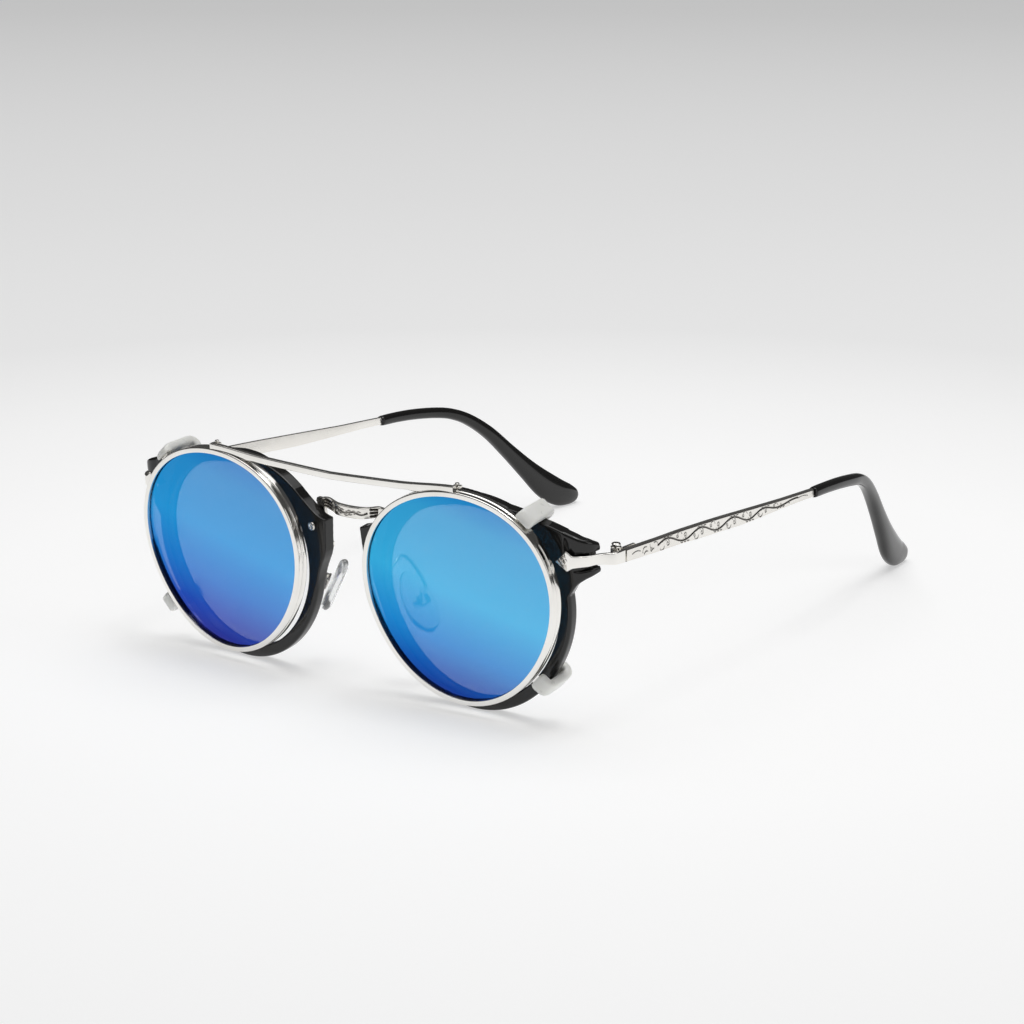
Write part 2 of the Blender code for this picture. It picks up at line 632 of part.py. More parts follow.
BROW_BAR = [(0, 21.65, 1.5), (5, 21.8, 1.5), (10, 22.0, 1.5), (15, 22.2, 1.5), (20, 22.45, 1.5),
            (24, 22.9, 1.3), (27, 23.3, 1.1), (30, 23.6, 1.0), (33.0, 23.75, 1.0)]


def brow_bar():
    half = smooth_path([(x, z, h) for x, z, h in BROW_BAR], 2)
    stations = [Vector((-p.x, p.y, p.z)) for p in reversed(half[1:])] + half
    bevel = 0.2
    front, back = 0.25, 1.45
    sections = []
    for x, z, height in stations:
        low, high = z - height / 2, z + height / 2
        sections.append([(x, front, low + bevel), (x, front, high - bevel),
                         (x, front + bevel, high), (x, back - bevel, high),
                         (x, back, high - bevel), (x, back, low + bevel),
                         (x, back - bevel, low), (x, front + bevel, low)])
    link("brow_bar", loft(sections, "brow_bar"), SILVER, BROW)


def closing_block(side, suffix):
    """The split block that closes the clip rim round its lens, with a screw down through it."""
    centre, depth = 0.3, 2.3
    outline = [(centre - 0.9, 23.4), (centre + 0.9, 23.4), (centre + 0.9, 23.95),
               (centre - 0.9, 23.95)]
    block = link("clip_block_" + suffix, prism(outline, 1.75, 2.85, side, "clip_block"), SILVER,
                 LENS_FRAME[side])
    bore = link("clip_block_bore_" + suffix, cylinder(0.42, 4, "bore", 12), None,
                LENS_FRAME[side], True)
    bore.location = Vector((side * centre, depth, 24)) * MM
    boolean(block, bore, "DIFFERENCE")
    profile = [(0, 24.45), (0.4, 24.45), (0.5, 24.35), (0.5, 24.2), (0.17, 24.2), (0.17, 23.4),
               (0, 23.4)]
    screw = link("clip_screw_" + suffix, turned(profile, "clip_screw", 12), SILVER,
                 LENS_FRAME[side])
    screw.location = Vector((side * centre, depth, 0)) * MM


HOOKS = {"upper": (48.5, 24.35, 25.8, 10.1, 23.4), "lower": (-41.5, 23.5, 26.75, 9.5, 24.3)}


def hook_route(root, band, back, tip):
    """Centre line of a hook in (radius, depth): out of the rim, back over it, and in behind."""
    return [(root, 1.4), (root + 0.5 * (band - root), 1.45), (band - 0.45, 1.75), (band - 0.1, 2.4),
            (band, 3.4), (band, 6.0), (band, back - 1.6), (band - 0.25, back - 0.6),
            (band - 0.95, back), (band - 1.6, back + 0.1), (tip, back + 0.1)]


def hook_sections(side, degrees, route, width, thickness):
    """Sections of a band of the given width that follows a route at one angle on the lens."""
    angle = math.radians(degrees)
    radial = Vector((math.cos(angle), 0, math.sin(angle)))
    sideways = Vector((-math.sin(angle), 0, math.cos(angle)))
    sections = []
    for i, (radius, v) in enumerate(route):
        r0, v0 = route[max(i - 1, 0)]
        r1, v1 = route[min(i + 1, len(route) - 1)]
        run = Vector((r1 - r0, v1 - v0)).normalized()
        normal = Vector((-run.y, run.x))
        centre = radial * radius + Vector((0, v, 0))
        across = radial * normal.x + Vector((0, normal.y, 0))
        bevel = min(thickness, width) * 0.25
        ring = []
        for w, t in ((width / 2, thickness / 2 - bevel), (width / 2 - bevel, thickness / 2),
                     (-width / 2 + bevel, thickness / 2), (-width / 2, thickness / 2 - bevel),
                     (-width / 2, -thickness / 2 + bevel), (-width / 2 + bevel, -thickness / 2),
                     (width / 2 - bevel, -thickness / 2), (width / 2, -thickness / 2 + bevel)):
            point = centre + sideways * w + across * t
            ring.append((side * point.x, point.y, point.z))
        sections.append(ring)
    return sections


def hook(side, suffix, name):
    degrees, root, band, back, tip = HOOKS[name]
    route = hook_route(root, band, back, tip + 0.5)
    strip = loft(hook_sections(side, degrees, route, 2.4, 0.5), "hook")
    link(f"clip_hook_{name}_{suffix}", strip, SILVER, LENS_FRAME[side])
    cover = [(root + 0.35, 1.42)] + hook_route(root, band, back, tip)[1:]
    sleeve = link(f"hook_sleeve_{name}_{suffix}",
                  loft(hook_sections(side, degrees, cover, 4.0, 1.9), "sleeve"), SILICONE,
                  LENS_FRAME[side])
    bore_route = [(root - 0.6, 1.4)] + hook_route(root, band, back, tip - 0.8)[1:]
    bore = loft(hook_sections(side, degrees, bore_route, 3.0, 1.1), "sleeve_bore")
    boolean(sleeve, link(f"sleeve_bore_{name}_{suffix}", bore, None, LENS_FRAME[side], True),
            "DIFFERENCE")


# ---- assembly ----
bridge()
brow_bar()
for SIDE, SUFFIX in SIDES:
    rim(SIDE, SUFFIX)
    optical_lens(SIDE, SUFFIX)
    rivet(SIDE, SUFFIX, "bridge_rivet", NASAL_RIVET, 0.95, 0.55, 4.5, 4.9, 9.4)
    end_plate(SIDE, SUFFIX)
    rivet(SIDE, SUFFIX, "plate_rivet", PLATE_RIVET, 0.8, 0.5, 3.85, 4.8, 7.3)
    leaf(SIDE, SUFFIX, "front_leaf", -1, ("low", "high"), (HINGE_Y - 1.5, 10.0))
    leaf(SIDE, SUFFIX, "temple_leaf", 1, ("middle",), (HINGE_Y + 1.5, 18.4))
    hinge_screw(SIDE, SUFFIX)
    temple(SIDE, SUFFIX)
    temple_tip(SIDE, SUFFIX)
    nose_pad(SIDE, SUFFIX)
    pad_mount(SIDE, SUFFIX)
    pad_arm(SIDE, SUFFIX)
    clip_rim(SIDE, SUFFIX)
    clip_lens(SIDE, SUFFIX)
    closing_block(SIDE, SUFFIX)
    hook(SIDE, SUFFIX, "upper")
    hook(SIDE, SUFFIX, "lower")
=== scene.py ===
"""Looks of the eyeglasses with their clip-on sun lenses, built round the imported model.

Lengths are in millimetres in each piece's own frame, as (x, v, z): x runs to the temple,
v from front to back, z up. The frames turn them into metres in the model's frame.
"""
import math

import bmesh
import bpy
import numpy as np
from mathutils import Matrix, Vector, kdtree

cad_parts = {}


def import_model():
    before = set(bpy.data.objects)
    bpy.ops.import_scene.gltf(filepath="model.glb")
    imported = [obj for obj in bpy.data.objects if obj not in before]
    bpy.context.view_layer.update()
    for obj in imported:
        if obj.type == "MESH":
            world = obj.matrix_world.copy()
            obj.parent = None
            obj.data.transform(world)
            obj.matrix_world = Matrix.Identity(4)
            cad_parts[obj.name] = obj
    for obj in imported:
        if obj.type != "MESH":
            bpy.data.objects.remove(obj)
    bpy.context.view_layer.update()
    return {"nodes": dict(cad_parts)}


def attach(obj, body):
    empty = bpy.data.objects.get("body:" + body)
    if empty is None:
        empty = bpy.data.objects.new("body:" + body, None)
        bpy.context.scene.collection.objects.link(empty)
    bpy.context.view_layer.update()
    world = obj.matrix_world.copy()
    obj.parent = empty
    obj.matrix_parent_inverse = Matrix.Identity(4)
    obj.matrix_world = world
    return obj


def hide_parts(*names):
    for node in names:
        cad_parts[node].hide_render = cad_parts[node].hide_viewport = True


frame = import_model()

MM = 0.001
ORIGIN_Y = 80.63
LENS_CENTRE_X = 32.5
LENS_CENTRE_Z = 26.9
FRONT_TILT = math.radians(5.5)
FACE_WRAP = math.radians(3.4)
CLIP_OPENING_R, CLIP_LOBE = 22.5, 0.029
CLIP_RIM_WIDTH = 1.2
RIM_OUTER_R, RIM_INNER_R, RIM_LOBE, RIM_CENTRE_Z = 24.3, 21.6, 0.025, -2.6
RIM_FRONT, RIM_BACK = 5.2, 8.2
RIM_VOXEL, RIM_SMOOTHING = 0.13, 12
OPTICAL_LENS_R, SUN_LENS_R = 21.9, 22.7
NASAL_RIVET = (-23.9, 8.0)
PLATE_RIVET = (24.1, 10.2)
GROOVE_SHADE_DEPTH = 0.12
SIDES = ((1, "left"), (-1, "right"))


# ---- frames ----
def turn(axis, angle):
    return np.array(Matrix.Rotation(angle, 3, axis))


TILT = turn("X", FRONT_TILT)


def world_frame(side, p):
    """Metres in the model's frame from millimetres measured from the front's middle."""
    return (np.asarray(p, float) * (side, 1, 1) - (0, ORIGIN_Y, 0)) * MM


def brow_frame(side, p):
    """As world_frame, from the lens centres' height in the tilted plane of the front."""
    p = np.asarray(p, float) * (side, 1, 1) + (0, 0, LENS_CENTRE_Z)
    return (p @ TILT.T - (0, ORIGIN_Y, 0)) * MM


def lens_frame(side, p):
    """As brow_frame, from one lens centre, turned with the wrap of that side."""
    p = np.asarray(p, float) * (side, 1, 1) @ turn("Z", side * FACE_WRAP).T
    p = p + (side * LENS_CENTRE_X, 0, LENS_CENTRE_Z)
    return (p @ TILT.T - (0, ORIGIN_Y, 0)) * MM


def lens_to_design(p):
    """Lens-frame points of the left side in millimetres of the world frame."""
    return lens_frame(1, p) / MM + (0, ORIGIN_Y, 0)


# ---- mesh helpers ----
def smooth_path(points, per_span=6):
    """Catmull-Rom points through rows of numbers."""
    p = np.asarray(points, float)
    p = np.vstack((2 * p[0] - p[1], p, 2 * p[-1] - p[-2]))
    t = np.linspace(0, 1, per_span, endpoint=False)[:, None]
    out = []
    for a, b, c, d in zip(p, p[1:], p[2:], p[3:]):
        out.append(0.5 * (2 * b + (c - a) * t + (2 * a - 5 * b + 4 * c - d) * t ** 2
                          + (3 * b - a - 3 * c + d) * t ** 3))
    return np.vstack((*out, p[-2]))


def straight_path(points, per_span=6):
    """Evenly spaced points along the straight spans between rows of numbers."""
    p = np.asarray(points, float)
    t = np.linspace(0, 1, per_span, endpoint=False)[:, None]
    return np.vstack([a + (b - a) * t for a, b in zip(p, p[1:])] + [p[-1:]])


def fillet(corners, radii, steps=4):
    """A closed ring of points with each corner rounded off."""
    corners = np.asarray(corners, float)
    count = len(corners)
    radii = np.broadcast_to(radii, count)
    out = []
    for i in range(count):
        here, before, after = corners[i], corners[i - 1], corners[(i + 1) % count]
        to_before, to_after = before - here, after - here
        lb, la = np.linalg.norm(to_before), np.linalg.norm(to_after)
        r = min(radii[i], 0.48 * lb, 0.48 * la)
        start, end = here + to_before / lb * r, here + to_after / la * r
        for t in np.linspace(0, 1, steps + 1):
            out.append((1 - t) ** 2 * start + 2 * t * (1 - t) * here + t ** 2 * end)
    return np.array(out)


def grid_faces(rows, columns, close_rows=False, close_columns=True):
    faces = []
    for i in range(rows if close_rows else rows - 1):
        for j in range(columns if close_columns else columns - 1):
            k, m = (i + 1) % rows, (j + 1) % columns
            faces.append((i * columns + j, i * columns + m, k * columns + m, k * columns + j))
    return faces


def loft(rings, caps=True):
    """Vertices and faces through rings of points; the ends close on their middles."""
    rings = np.asarray(rings, float)
    rows, columns = rings.shape[:2]
    verts = rings.reshape(-1, 3)
    faces = grid_faces(rows, columns)
    if caps:
        for ring, first in ((0, True), (rows - 1, False)):
            verts = np.vstack((verts, rings[ring].mean(0)))
            middle = len(verts) - 1
            for j in range(columns):
                pair = (ring * columns + j, ring * columns + (j + 1) % columns)
                faces.append((middle, *(reversed(pair) if first else pair)))
    return verts, faces


def hollow(outer, inner):
    """A tube with a wall: outer and inner rings, joined at both ends."""
    outer, inner = np.asarray(outer), np.asarray(inner)
    rings = np.concatenate((outer, inner[::-1]))
    rows, columns = rings.shape[:2]
    return rings.reshape(-1, 3), grid_faces(rows, columns, close_rows=True)


def joined(*parts):
    """Several (verts, faces) parts as one, not merged."""
    verts, faces, base = [], [], 0
    for v, f in parts:
        verts.append(v)
        faces += [tuple(i + base for i in face) for face in f]
        base += len(v)
    return np.vstack(verts), faces


def to_mesh(name, verts, faces, smooth=35):
    mesh = bpy.data.meshes.new(name)
    mesh.from_pydata(np.asarray(verts, float).tolist(), [], faces)
    bm = bmesh.new()
    bm.from_mesh(mesh)
    bmesh.ops.recalc_face_normals(bm, faces=bm.faces)
    bm.to_mesh(mesh)
    bm.free()
    mesh.shade_smooth()
    mesh.set_sharp_from_angle(angle=math.radians(smooth))
    return mesh


def applied(obj):
    """The mesh of obj with its modifiers applied."""
    bpy.context.view_layer.update()
    evaluated = obj.evaluated_get(bpy.context.evaluated_depsgraph_get())
    return bpy.data.meshes.new_from_object(evaluated)


def temporary(verts, faces):
    obj = bpy.data.objects.new("temporary", to_mesh("temporary", verts, faces))
    bpy.context.scene.collection.objects.link(obj)
    return obj


def combined(base, others, operation="UNION"):
    """(verts, faces) of base with the others joined to it or cut from it."""
    obj = temporary(*base)
    tools = [temporary(*other) for other in others]
    for tool in tools:
        mod = obj.modifiers.new("combine", "BOOLEAN")
        mod.operation, mod.object, mod.solver = operation, tool, "EXACT"
    result = unpack(applied(obj))
    for item in [obj, *tools]:
        bpy.data.objects.remove(item, do_unlink=True)
    return result


def remeshed(parts, voxel, rounds):
    """One skin over overlapping closed parts, its corners softened."""
    obj = temporary(*joined(*parts))
    mod = obj.modifiers.new("skin", "REMESH")
    mod.mode, mod.voxel_size = "VOXEL", voxel
    mod = obj.modifiers.new("soften", "SMOOTH")
    mod.factor, mod.iterations = 0.5, rounds
    result = unpack(applied(obj))
    bpy.data.objects.remove(obj, do_unlink=True)
    return result


def unpack(mesh):
    """The (verts, faces) of a mesh, which is then removed."""
    co = np.zeros(len(mesh.vertices) * 3)
    mesh.vertices.foreach_get("co", co)
    faces = [tuple(p.vertices) for p in mesh.polygons]
    bpy.data.meshes.remove(mesh)
    return co.reshape(-1, 3), faces


def piece(name, part, mats, body, replaces=(), smooth=35, choose=None, shade=None):
    """Put a finished piece in the scene, riding on its body.

    choose gives the material slot of a face, and shade the groove depth at each vertex.
    """
    verts, faces = part
    obj = bpy.data.objects.new(name, to_mesh(name, verts, faces, smooth))
    bpy.context.scene.collection.objects.link(obj)
    for mat in mats if isinstance(mats, (list, tuple)) else [mats]:
        obj.data.materials.append(mat)
    if choose is not None:
        for poly in obj.data.polygons:
            poly.material_index = choose(poly)
    if shade is not None:
        attribute = obj.data.attributes.new("groove", "FLOAT", "POINT")
        attribute.data.foreach_set("value", np.asarray(shade, np.float32))
    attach(obj, body)
    if replaces:
        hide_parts(*replaces)
    return obj


# ---- materials ----
def node(mat, kind, **inputs):
    made = mat.node_tree.nodes.new(kind)
    for key, value in inputs.items():
        made.inputs[key.replace("_", " ")].default_value = value
    return made


def wire(mat, a, a_socket, b, b_socket):
    mat.node_tree.links.new(a.outputs[a_socket], b.inputs[b_socket])


def principled(name, colour, **values):
    mat = bpy.data.materials.new(name)
    mat.use_nodes = True
    shader = mat.node_tree.nodes["Principled BSDF"]
    shader.inputs["Base Color"].default_value = (*colour, 1)
    for key, value in values.items():
        shader.inputs[key.replace("_", " ")].default_value = value
    return mat, shader


def object_coordinates(mat, scale=(1, 1, 1)):
    where = node(mat, "ShaderNodeTexCoord")
    mapping = node(mat, "ShaderNodeMapping", Scale=scale)
    wire(mat, where, "Object", mapping, "Vector")
    return mapping


def noise(mat, mapping, scale, detail=3.0):
    made = node(mat, "ShaderNodeTexNoise", Scale=scale, Detail=detail)
    wire(mat, mapping, "Vector", made, "Vector")
    return made


def ramp(mat, source, socket, stops):
    made = mat.node_tree.nodes.new("ShaderNodeValToRGB")
    wire(mat, source, socket, made, "Fac")
    elements = made.color_ramp.elements
    while len(elements) < len(stops):
        elements.new(0.5)
    for element, (place, colour) in zip(elements, stops):
        element.position = place
        element.color = (*colour, 1) if len(colour) == 3 else (colour[0],) * 3 + (1,)
    return made


def roughness_from(mat, shader, source, socket, low, high):
    made = mat.node_tree.nodes.new("ShaderNodeMapRange")
    made.inputs["To Min"].default_value = low
    made.inputs["To Max"].default_value = high
    wire(mat, source, socket, made, "Value")
    wire(mat, made, "Result", shader, "Roughness")


def bump_from(mat, shader, source, socket, distance, strength):
    made = node(mat, "ShaderNodeBump", Strength=strength, Distance=distance)
    wire(mat, source, socket, made, "Height")
    wire(mat, made, "Normal", shader, "Normal")


def acetate_material():
    mat, shader = principled("black_acetate", (0.011, 0.0108, 0.0105), IOR=1.46)
    mapping = object_coordinates(mat)
    smears = noise(mat, mapping, 120.0)
    roughness_from(mat, shader, smears, "Fac", 0.05, 0.12)
    bump_from(mat, shader, noise(mat, mapping, 350.0, 2.0), "Fac", 0.00001, 0.25)
    return mat


def metal_material(name, colour, worn, low, high, grain, strength, groove=False):
    """Bright metal with dull patches and a fine grain; its engraved grooves are darker."""
    mat, shader = principled(name, colour, Metallic=1.0)
    mapping = object_coordinates(mat, (1.0, 0.25, 1.0))
    clouds = noise(mat, mapping, 90.0)
    tone = ramp(mat, clouds, "Fac", [(0.3, worn), (0.6, colour)])
    if groove:
        depth = mat.node_tree.nodes.new("ShaderNodeAttribute")
        depth.attribute_name = "groove"
        mix = mat.node_tree.nodes.new("ShaderNodeMix")
        mix.data_type = "RGBA"
        wire(mat, depth, "Fac", mix, "Factor")
        wire(mat, tone, "Color", mix, 6)
        mix.inputs[7].default_value = (0.10, 0.092, 0.08, 1)
        wire(mat, mix, 2, shader, "Base Color")
    else:
        wire(mat, tone, "Color", shader, "Base Color")
    fine = noise(mat, mapping, grain, 4.0)
    roughness_from(mat, shader, fine, "Fac", low, high)
    bump_from(mat, shader, fine, "Fac", 0.00001, strength)
    return mat


def mirror_material(side):
    """Blue mirror coating with a painted reflection in its colour: pale at the middle where it
    stands for the bright floor, deep blue at the bottom for the shade under the glasses, with the
    coating's own violet tint low down.
    """
    half_span = 0.0235
    mat, shader = principled("blue_mirror_painted_reflection", (0.01, 0.26, 0.76), Metallic=1.0, Alpha=0.86)
    centre = lens_frame(side, (0, 0, 0))
    where = node(mat, "ShaderNodeTexCoord")
    shift = node(mat, "ShaderNodeVectorMath")
    shift.operation = "SUBTRACT"
    shift.inputs[1].default_value = tuple(centre)
    wire(mat, where, "Object", shift, 0)
    along = node(mat, "ShaderNodeVectorMath")
    along.operation = "DOT_PRODUCT"
    along.inputs[1].default_value = (0.25, 0.0, 1.0)
    wire(mat, shift, "Vector", along, 0)
    span = mat.node_tree.nodes.new("ShaderNodeMapRange")
    span.inputs["From Min"].default_value = -half_span
    span.inputs["From Max"].default_value = half_span
    wire(mat, along, "Value", span, "Value")
    # Painted reflection: each lens has its own stops, for what it mirrors from where it sits.
    if side > 0:
        stops = [(0.0, (0.012, 0.055, 0.42)), (0.10, (0.006, 0.12, 0.54)),
                 (0.24, (0.012, 0.27, 0.72)), (0.5, (0.040, 0.48, 0.85)),
                 (0.85, (0.04, 0.40, 0.76)), (1.0, (0.012, 0.25, 0.66))]
    else:
        stops = [(0.0, (0.030, 0.035, 0.40)), (0.14, (0.014, 0.080, 0.54)),
                 (0.30, (0.008, 0.20, 0.68)), (0.55, (0.012, 0.35, 0.80)),
                 (0.85, (0.02, 0.31, 0.72)), (1.0, (0.012, 0.22, 0.64))]
    # The painted reflection goes into the base colour.
    tone = ramp(mat, span, "Result", stops)
    wire(mat, tone, "Color", shader, "Base Color")
    haze = noise(mat, object_coordinates(mat), 60.0)
    roughness_from(mat, shader, haze, "Fac", 0.03, 0.08)
    return mat


def lens_back_material():
    mat, shader = principled("lens_tint", (0.03, 0.05, 0.08), Alpha=0.3, IOR=1.5)
    haze = noise(mat, object_coordinates(mat), 70.0)
    roughness_from(mat, shader, haze, "Fac", 0.03, 0.07)
    return mat


def clear_material():
    mat, shader = principled("clear_lens", (0.93, 0.95, 0.97), Alpha=0.06, IOR=1.5)
    haze = noise(mat, object_coordinates(mat), 50.0)
    roughness_from(mat, shader, haze, "Fac", 0.02, 0.05)
    return mat


def pad_material():
    mat, shader = principled("clear_pad", (0.97, 0.98, 0.98), IOR=1.41, Transmission_Weight=0.92)
    mapping = object_coordinates(mat)
    cloud = noise(mat, mapping, 400.0)
    roughness_from(mat, shader, cloud, "Fac", 0.06, 0.16)
    bump_from(mat, shader, cloud, "Fac", 0.00002, 0.2)
    return mat


def silicone_material():
    mat, shader = principled("milky_silicone", (0.96, 0.965, 0.93), IOR=1.41,
                             Transmission_Weight=0.06, Subsurface_Weight=0.35,
                             Subsurface_Scale=0.002)
    shader.inputs["Subsurface Radius"].default_value = (1.0, 1.0, 0.9)
    mapping = object_coordinates(mat)
    cloud = noise(mat, mapping, 300.0)
    tone = ramp(mat, cloud, "Fac", [(0.3, (0.93, 0.935, 0.87)), (0.7, (0.98, 0.98, 0.93))])
    wire(mat, tone, "Color", shader, "Base Color")
    roughness_from(mat, shader, cloud, "Fac", 0.22, 0.38)
    bump_from(mat, shader, noise(mat, mapping, 900.0), "Fac", 0.00002, 0.25)
    return mat


BLACK = acetate_material()
SILVER = metal_material("polished_silver", (0.90, 0.885, 0.85), (0.84, 0.82, 0.78),
                        0.07, 0.16, 900.0, 0.12)
ENGRAVED = metal_material("engraved_silver", (0.88, 0.86, 0.82), (0.80, 0.775, 0.73),
                          0.18, 0.30, 1400.0, 0.12, groove=True)
SATIN = metal_material("satin_silver", (0.86, 0.84, 0.80), (0.80, 0.775, 0.73),
                       0.20, 0.32, 1400.0, 0.12)
MIRROR = {side: mirror_material(side) for side, _ in SIDES}
LENS_BACK = lens_back_material()
CLEAR = clear_material()
PAD = pad_material()
SILICONE = silicone_material()


# ---- lens shape ----
def lens_outline(radius, lobe, centre_z, steps):
    """Points and outward normals, both (x, z), of the rounded three-lobed lens shape."""
    a = np.linspace(0, math.tau, steps, endpoint=False)
    r = radius * (1 + lobe * np.sin(3 * a))
    dr = 3 * radius * lobe * np.cos(3 * a)
    point = np.stack((r * np.cos(a), centre_z + r * np.sin(a)), 1)
    normal = np.stack((r * np.cos(a) + dr * np.sin(a), r * np.sin(a) - dr * np.cos(a)), 1)
    return point, normal / np.linalg.norm(normal, axis=1, keepdims=True)


def swept_ring(profile, radius, lobe, centre_z, steps):
    """A closed (outward, v) profile swept once round the lens outline."""
    point, normal = lens_outline(radius, lobe, centre_z, steps)
    rings = np.zeros((steps, len(profile), 3))
    for j, (out, v) in enumerate(profile):
        rings[:, j, 0] = point[:, 0] + normal[:, 0] * out
        rings[:, j, 2] = point[:, 1] + normal[:, 1] * out
        rings[:, j, 1] = v
    return rings.reshape(-1, 3), grid_faces(steps, len(profile), close_rows=True)


def curved_lens(radius, lobe, centre_z, v_front, v_back, dome, steps=160):
    """A lens blank with a slight outward curve and a rounded edge."""
    point, _ = lens_outline(radius, lobe, centre_z, steps)
    edge = 0.12
    rows = [(s, v_front) for s in np.linspace(0.04, 1, 14)[:-1]]
    rows += [(1 - edge / radius, v_front), (1, v_front + edge), (1, v_back - edge),
             (1 - edge / radius, v_back)]
    rows += [(s, v_back) for s in np.linspace(0.04, 1, 14)[-2::-1]]
    rings = []
    for s, v in rows:
        ring = np.zeros((steps, 3))
        ring[:, 0] = point[:, 0] * s
        ring[:, 2] = centre_z + (point[:, 1] - centre_z) * s
        ring[:, 1] = v - dome * (1 - s * s)
        rings.append(ring)
    return loft(rings)


# ---- black rims ----
def rim_shape():
    """Rim with its lens groove, nasal block, brow shoulder and slotted end piece."""
    width = RIM_OUTER_R - RIM_INNER_R
    middle = (RIM_FRONT + RIM_BACK) / 2
    groove = 1.1
    corners = [(0, RIM_FRONT), (width, RIM_FRONT), (width, RIM_BACK), (0, RIM_BACK),
               (0, middle + groove), (0.6, middle + groove), (0.6, middle - groove),
               (0, middle - groove)]
    profile = fillet(corners, [0.3, 0.8, 0.8, 0.3, 0.1, 0.05, 0.05, 0.1], 6)
    ring = swept_ring(profile, RIM_INNER_R, RIM_LOBE, RIM_CENTRE_Z, 240)
    front, back = RIM_FRONT + 0.02, RIM_BACK - 0.02
    brow_side = smooth_path([(2.0, 21.0), (-2.0, 21.45), (-5.0, 21.4), (-7.5, 21.05),
                             (-10.4, 20.1), (-15.0, 18.15), (-18.4, 15.95), (-21.1, 13.6),
                             (-23.5, 11.7), (-25.3, 10.5), (-26.8, 10.0)], 5)
    nose_side = smooth_path([(-26.9, 2.4), (-26.4, 1.0), (-25.5, -0.8), (-24.5, -3.2),
                             (-23.6, -6.5)], 5)
    corner = fillet([brow_side[-1], (-27.5, 9.9), nose_side[0]], 0.7, 5)[6:12]
    outline = [*brow_side, *corner, *nose_side]
    for step in range(22):
        angle = math.radians(188 - 5 * step)
        radius = RIM_INNER_R + 1.4
        outline.append((radius * math.cos(angle), RIM_CENTRE_Z + radius * math.sin(angle)))
    block = loft([[(x, v, z) for x, z in outline] for v in (front, back)])
    brow = [(10.0, 18.4, 19.3), (13.5, 16.9, 18.6), (17.0, 13.2, 17.6), (20.0, 9.6, 16.85),
            (23.2, 6.0, 15.9)]
    rings = [fillet([(x, front, low), (x, front, high), (x, back, high), (x, back, low)],
                    0.25, 3) for x, low, high in smooth_path(brow, 4)]
    shoulder = loft(rings)
    stations = [  # xo, vo, xi, vi, recess, high, slot high, slot low, low
        (22.6, 5.3, 22.4, 8.1, 0.1, 16.1, 11.6, 7.6, -0.6),
        (25.5, 5.3, 25.2, 8.1, 0.1, 15.3, 11.6, 7.6, 4.0),
        (27.4, 6.0, 26.2, 8.6, 1.2, 14.6, 11.6, 7.8, 5.6),
        (28.8, 7.6, 26.9, 9.4, 1.4, 14.0, 11.5, 8.0, 6.3),
        (29.4, 9.8, 27.4, 10.4, 1.4, 13.2, 11.5, 8.0, 6.7)]
    rings = []
    for xo, vo, xi, vi, recess, high, slot_high, slot_low, low in smooth_path(stations, 6):
        outer, inner = np.array((xo, vo)), np.array((xi, vi))
        deep = outer + (inner - outer) / np.linalg.norm(inner - outer) * recess
        corners = [(*outer, high), (*outer, slot_high), (*deep, slot_high), (*deep, slot_low),
                   (*outer, slot_low), (*outer, low), (*inner, low), (*inner, high)]
        rings.append(fillet(corners, [0.8, 0.4, 0.05, 0.05, 0.4, 0.8, 0.6, 0.6], 5))
    end_piece = loft(rings)
    return remeshed([ring, block, shoulder, end_piece], RIM_VOXEL, RIM_SMOOTHING)


RIM = rim_shape()
for SIDE, SUFFIX in SIDES:
    piece("rim_shell_" + SUFFIX, (lens_frame(SIDE, RIM[0]), RIM[1]), BLACK,
          "front", ["rim_" + SUFFIX], smooth=60)
    VERTS, FACES = curved_lens(OPTICAL_LENS_R, RIM_LOBE, RIM_CENTRE_Z, 5.95, 7.45, 0.35)
    piece("optical_lens_" + SUFFIX, (lens_frame(SIDE, VERTS), FACES), CLEAR,
          "front", ["lens_" + SUFFIX])


# ---- clip-on rims and mirror lenses ----
CLIP_PROFILE = fillet(
    [(0, 0), (CLIP_RIM_WIDTH, 0), (CLIP_RIM_WIDTH, 1.2), (1.02, 1.4), (CLIP_RIM_WIDTH, 1.6),
     (CLIP_RIM_WIDTH, 2.8), (0.5, 2.8), (0.5, 0.5), (0, 0.5)],
    [0.14, 0.32, 0.12, 0.1, 0.12, 0.22, 0.1, 0.05, 0.08], 5)
for SIDE, SUFFIX in SIDES:
    VERTS, FACES = swept_ring(CLIP_PROFILE, CLIP_OPENING_R, CLIP_LOBE, 0, 256)
    piece("sun_rim_" + SUFFIX, (lens_frame(SIDE, VERTS), FACES), SILVER,
          "clip_on", ["clip_rim_" + SUFFIX])
    VERTS, FACES = curved_lens(SUN_LENS_R, CLIP_LOBE, 0, 0.85, 2.15, 0.2)
    FORWARD = Vector(lens_frame(SIDE, (0, 0, 0)) - lens_frame(SIDE, (0, 1, 0)))
    piece("sun_lens_" + SUFFIX, (lens_frame(SIDE, VERTS), FACES), [MIRROR[SIDE], LENS_BACK],
          "clip_on", ["clip_lens_" + SUFFIX],
          choose=lambda poly, f=FORWARD: 0 if poly.normal.dot(f) > -0.5 * f.length else 1)


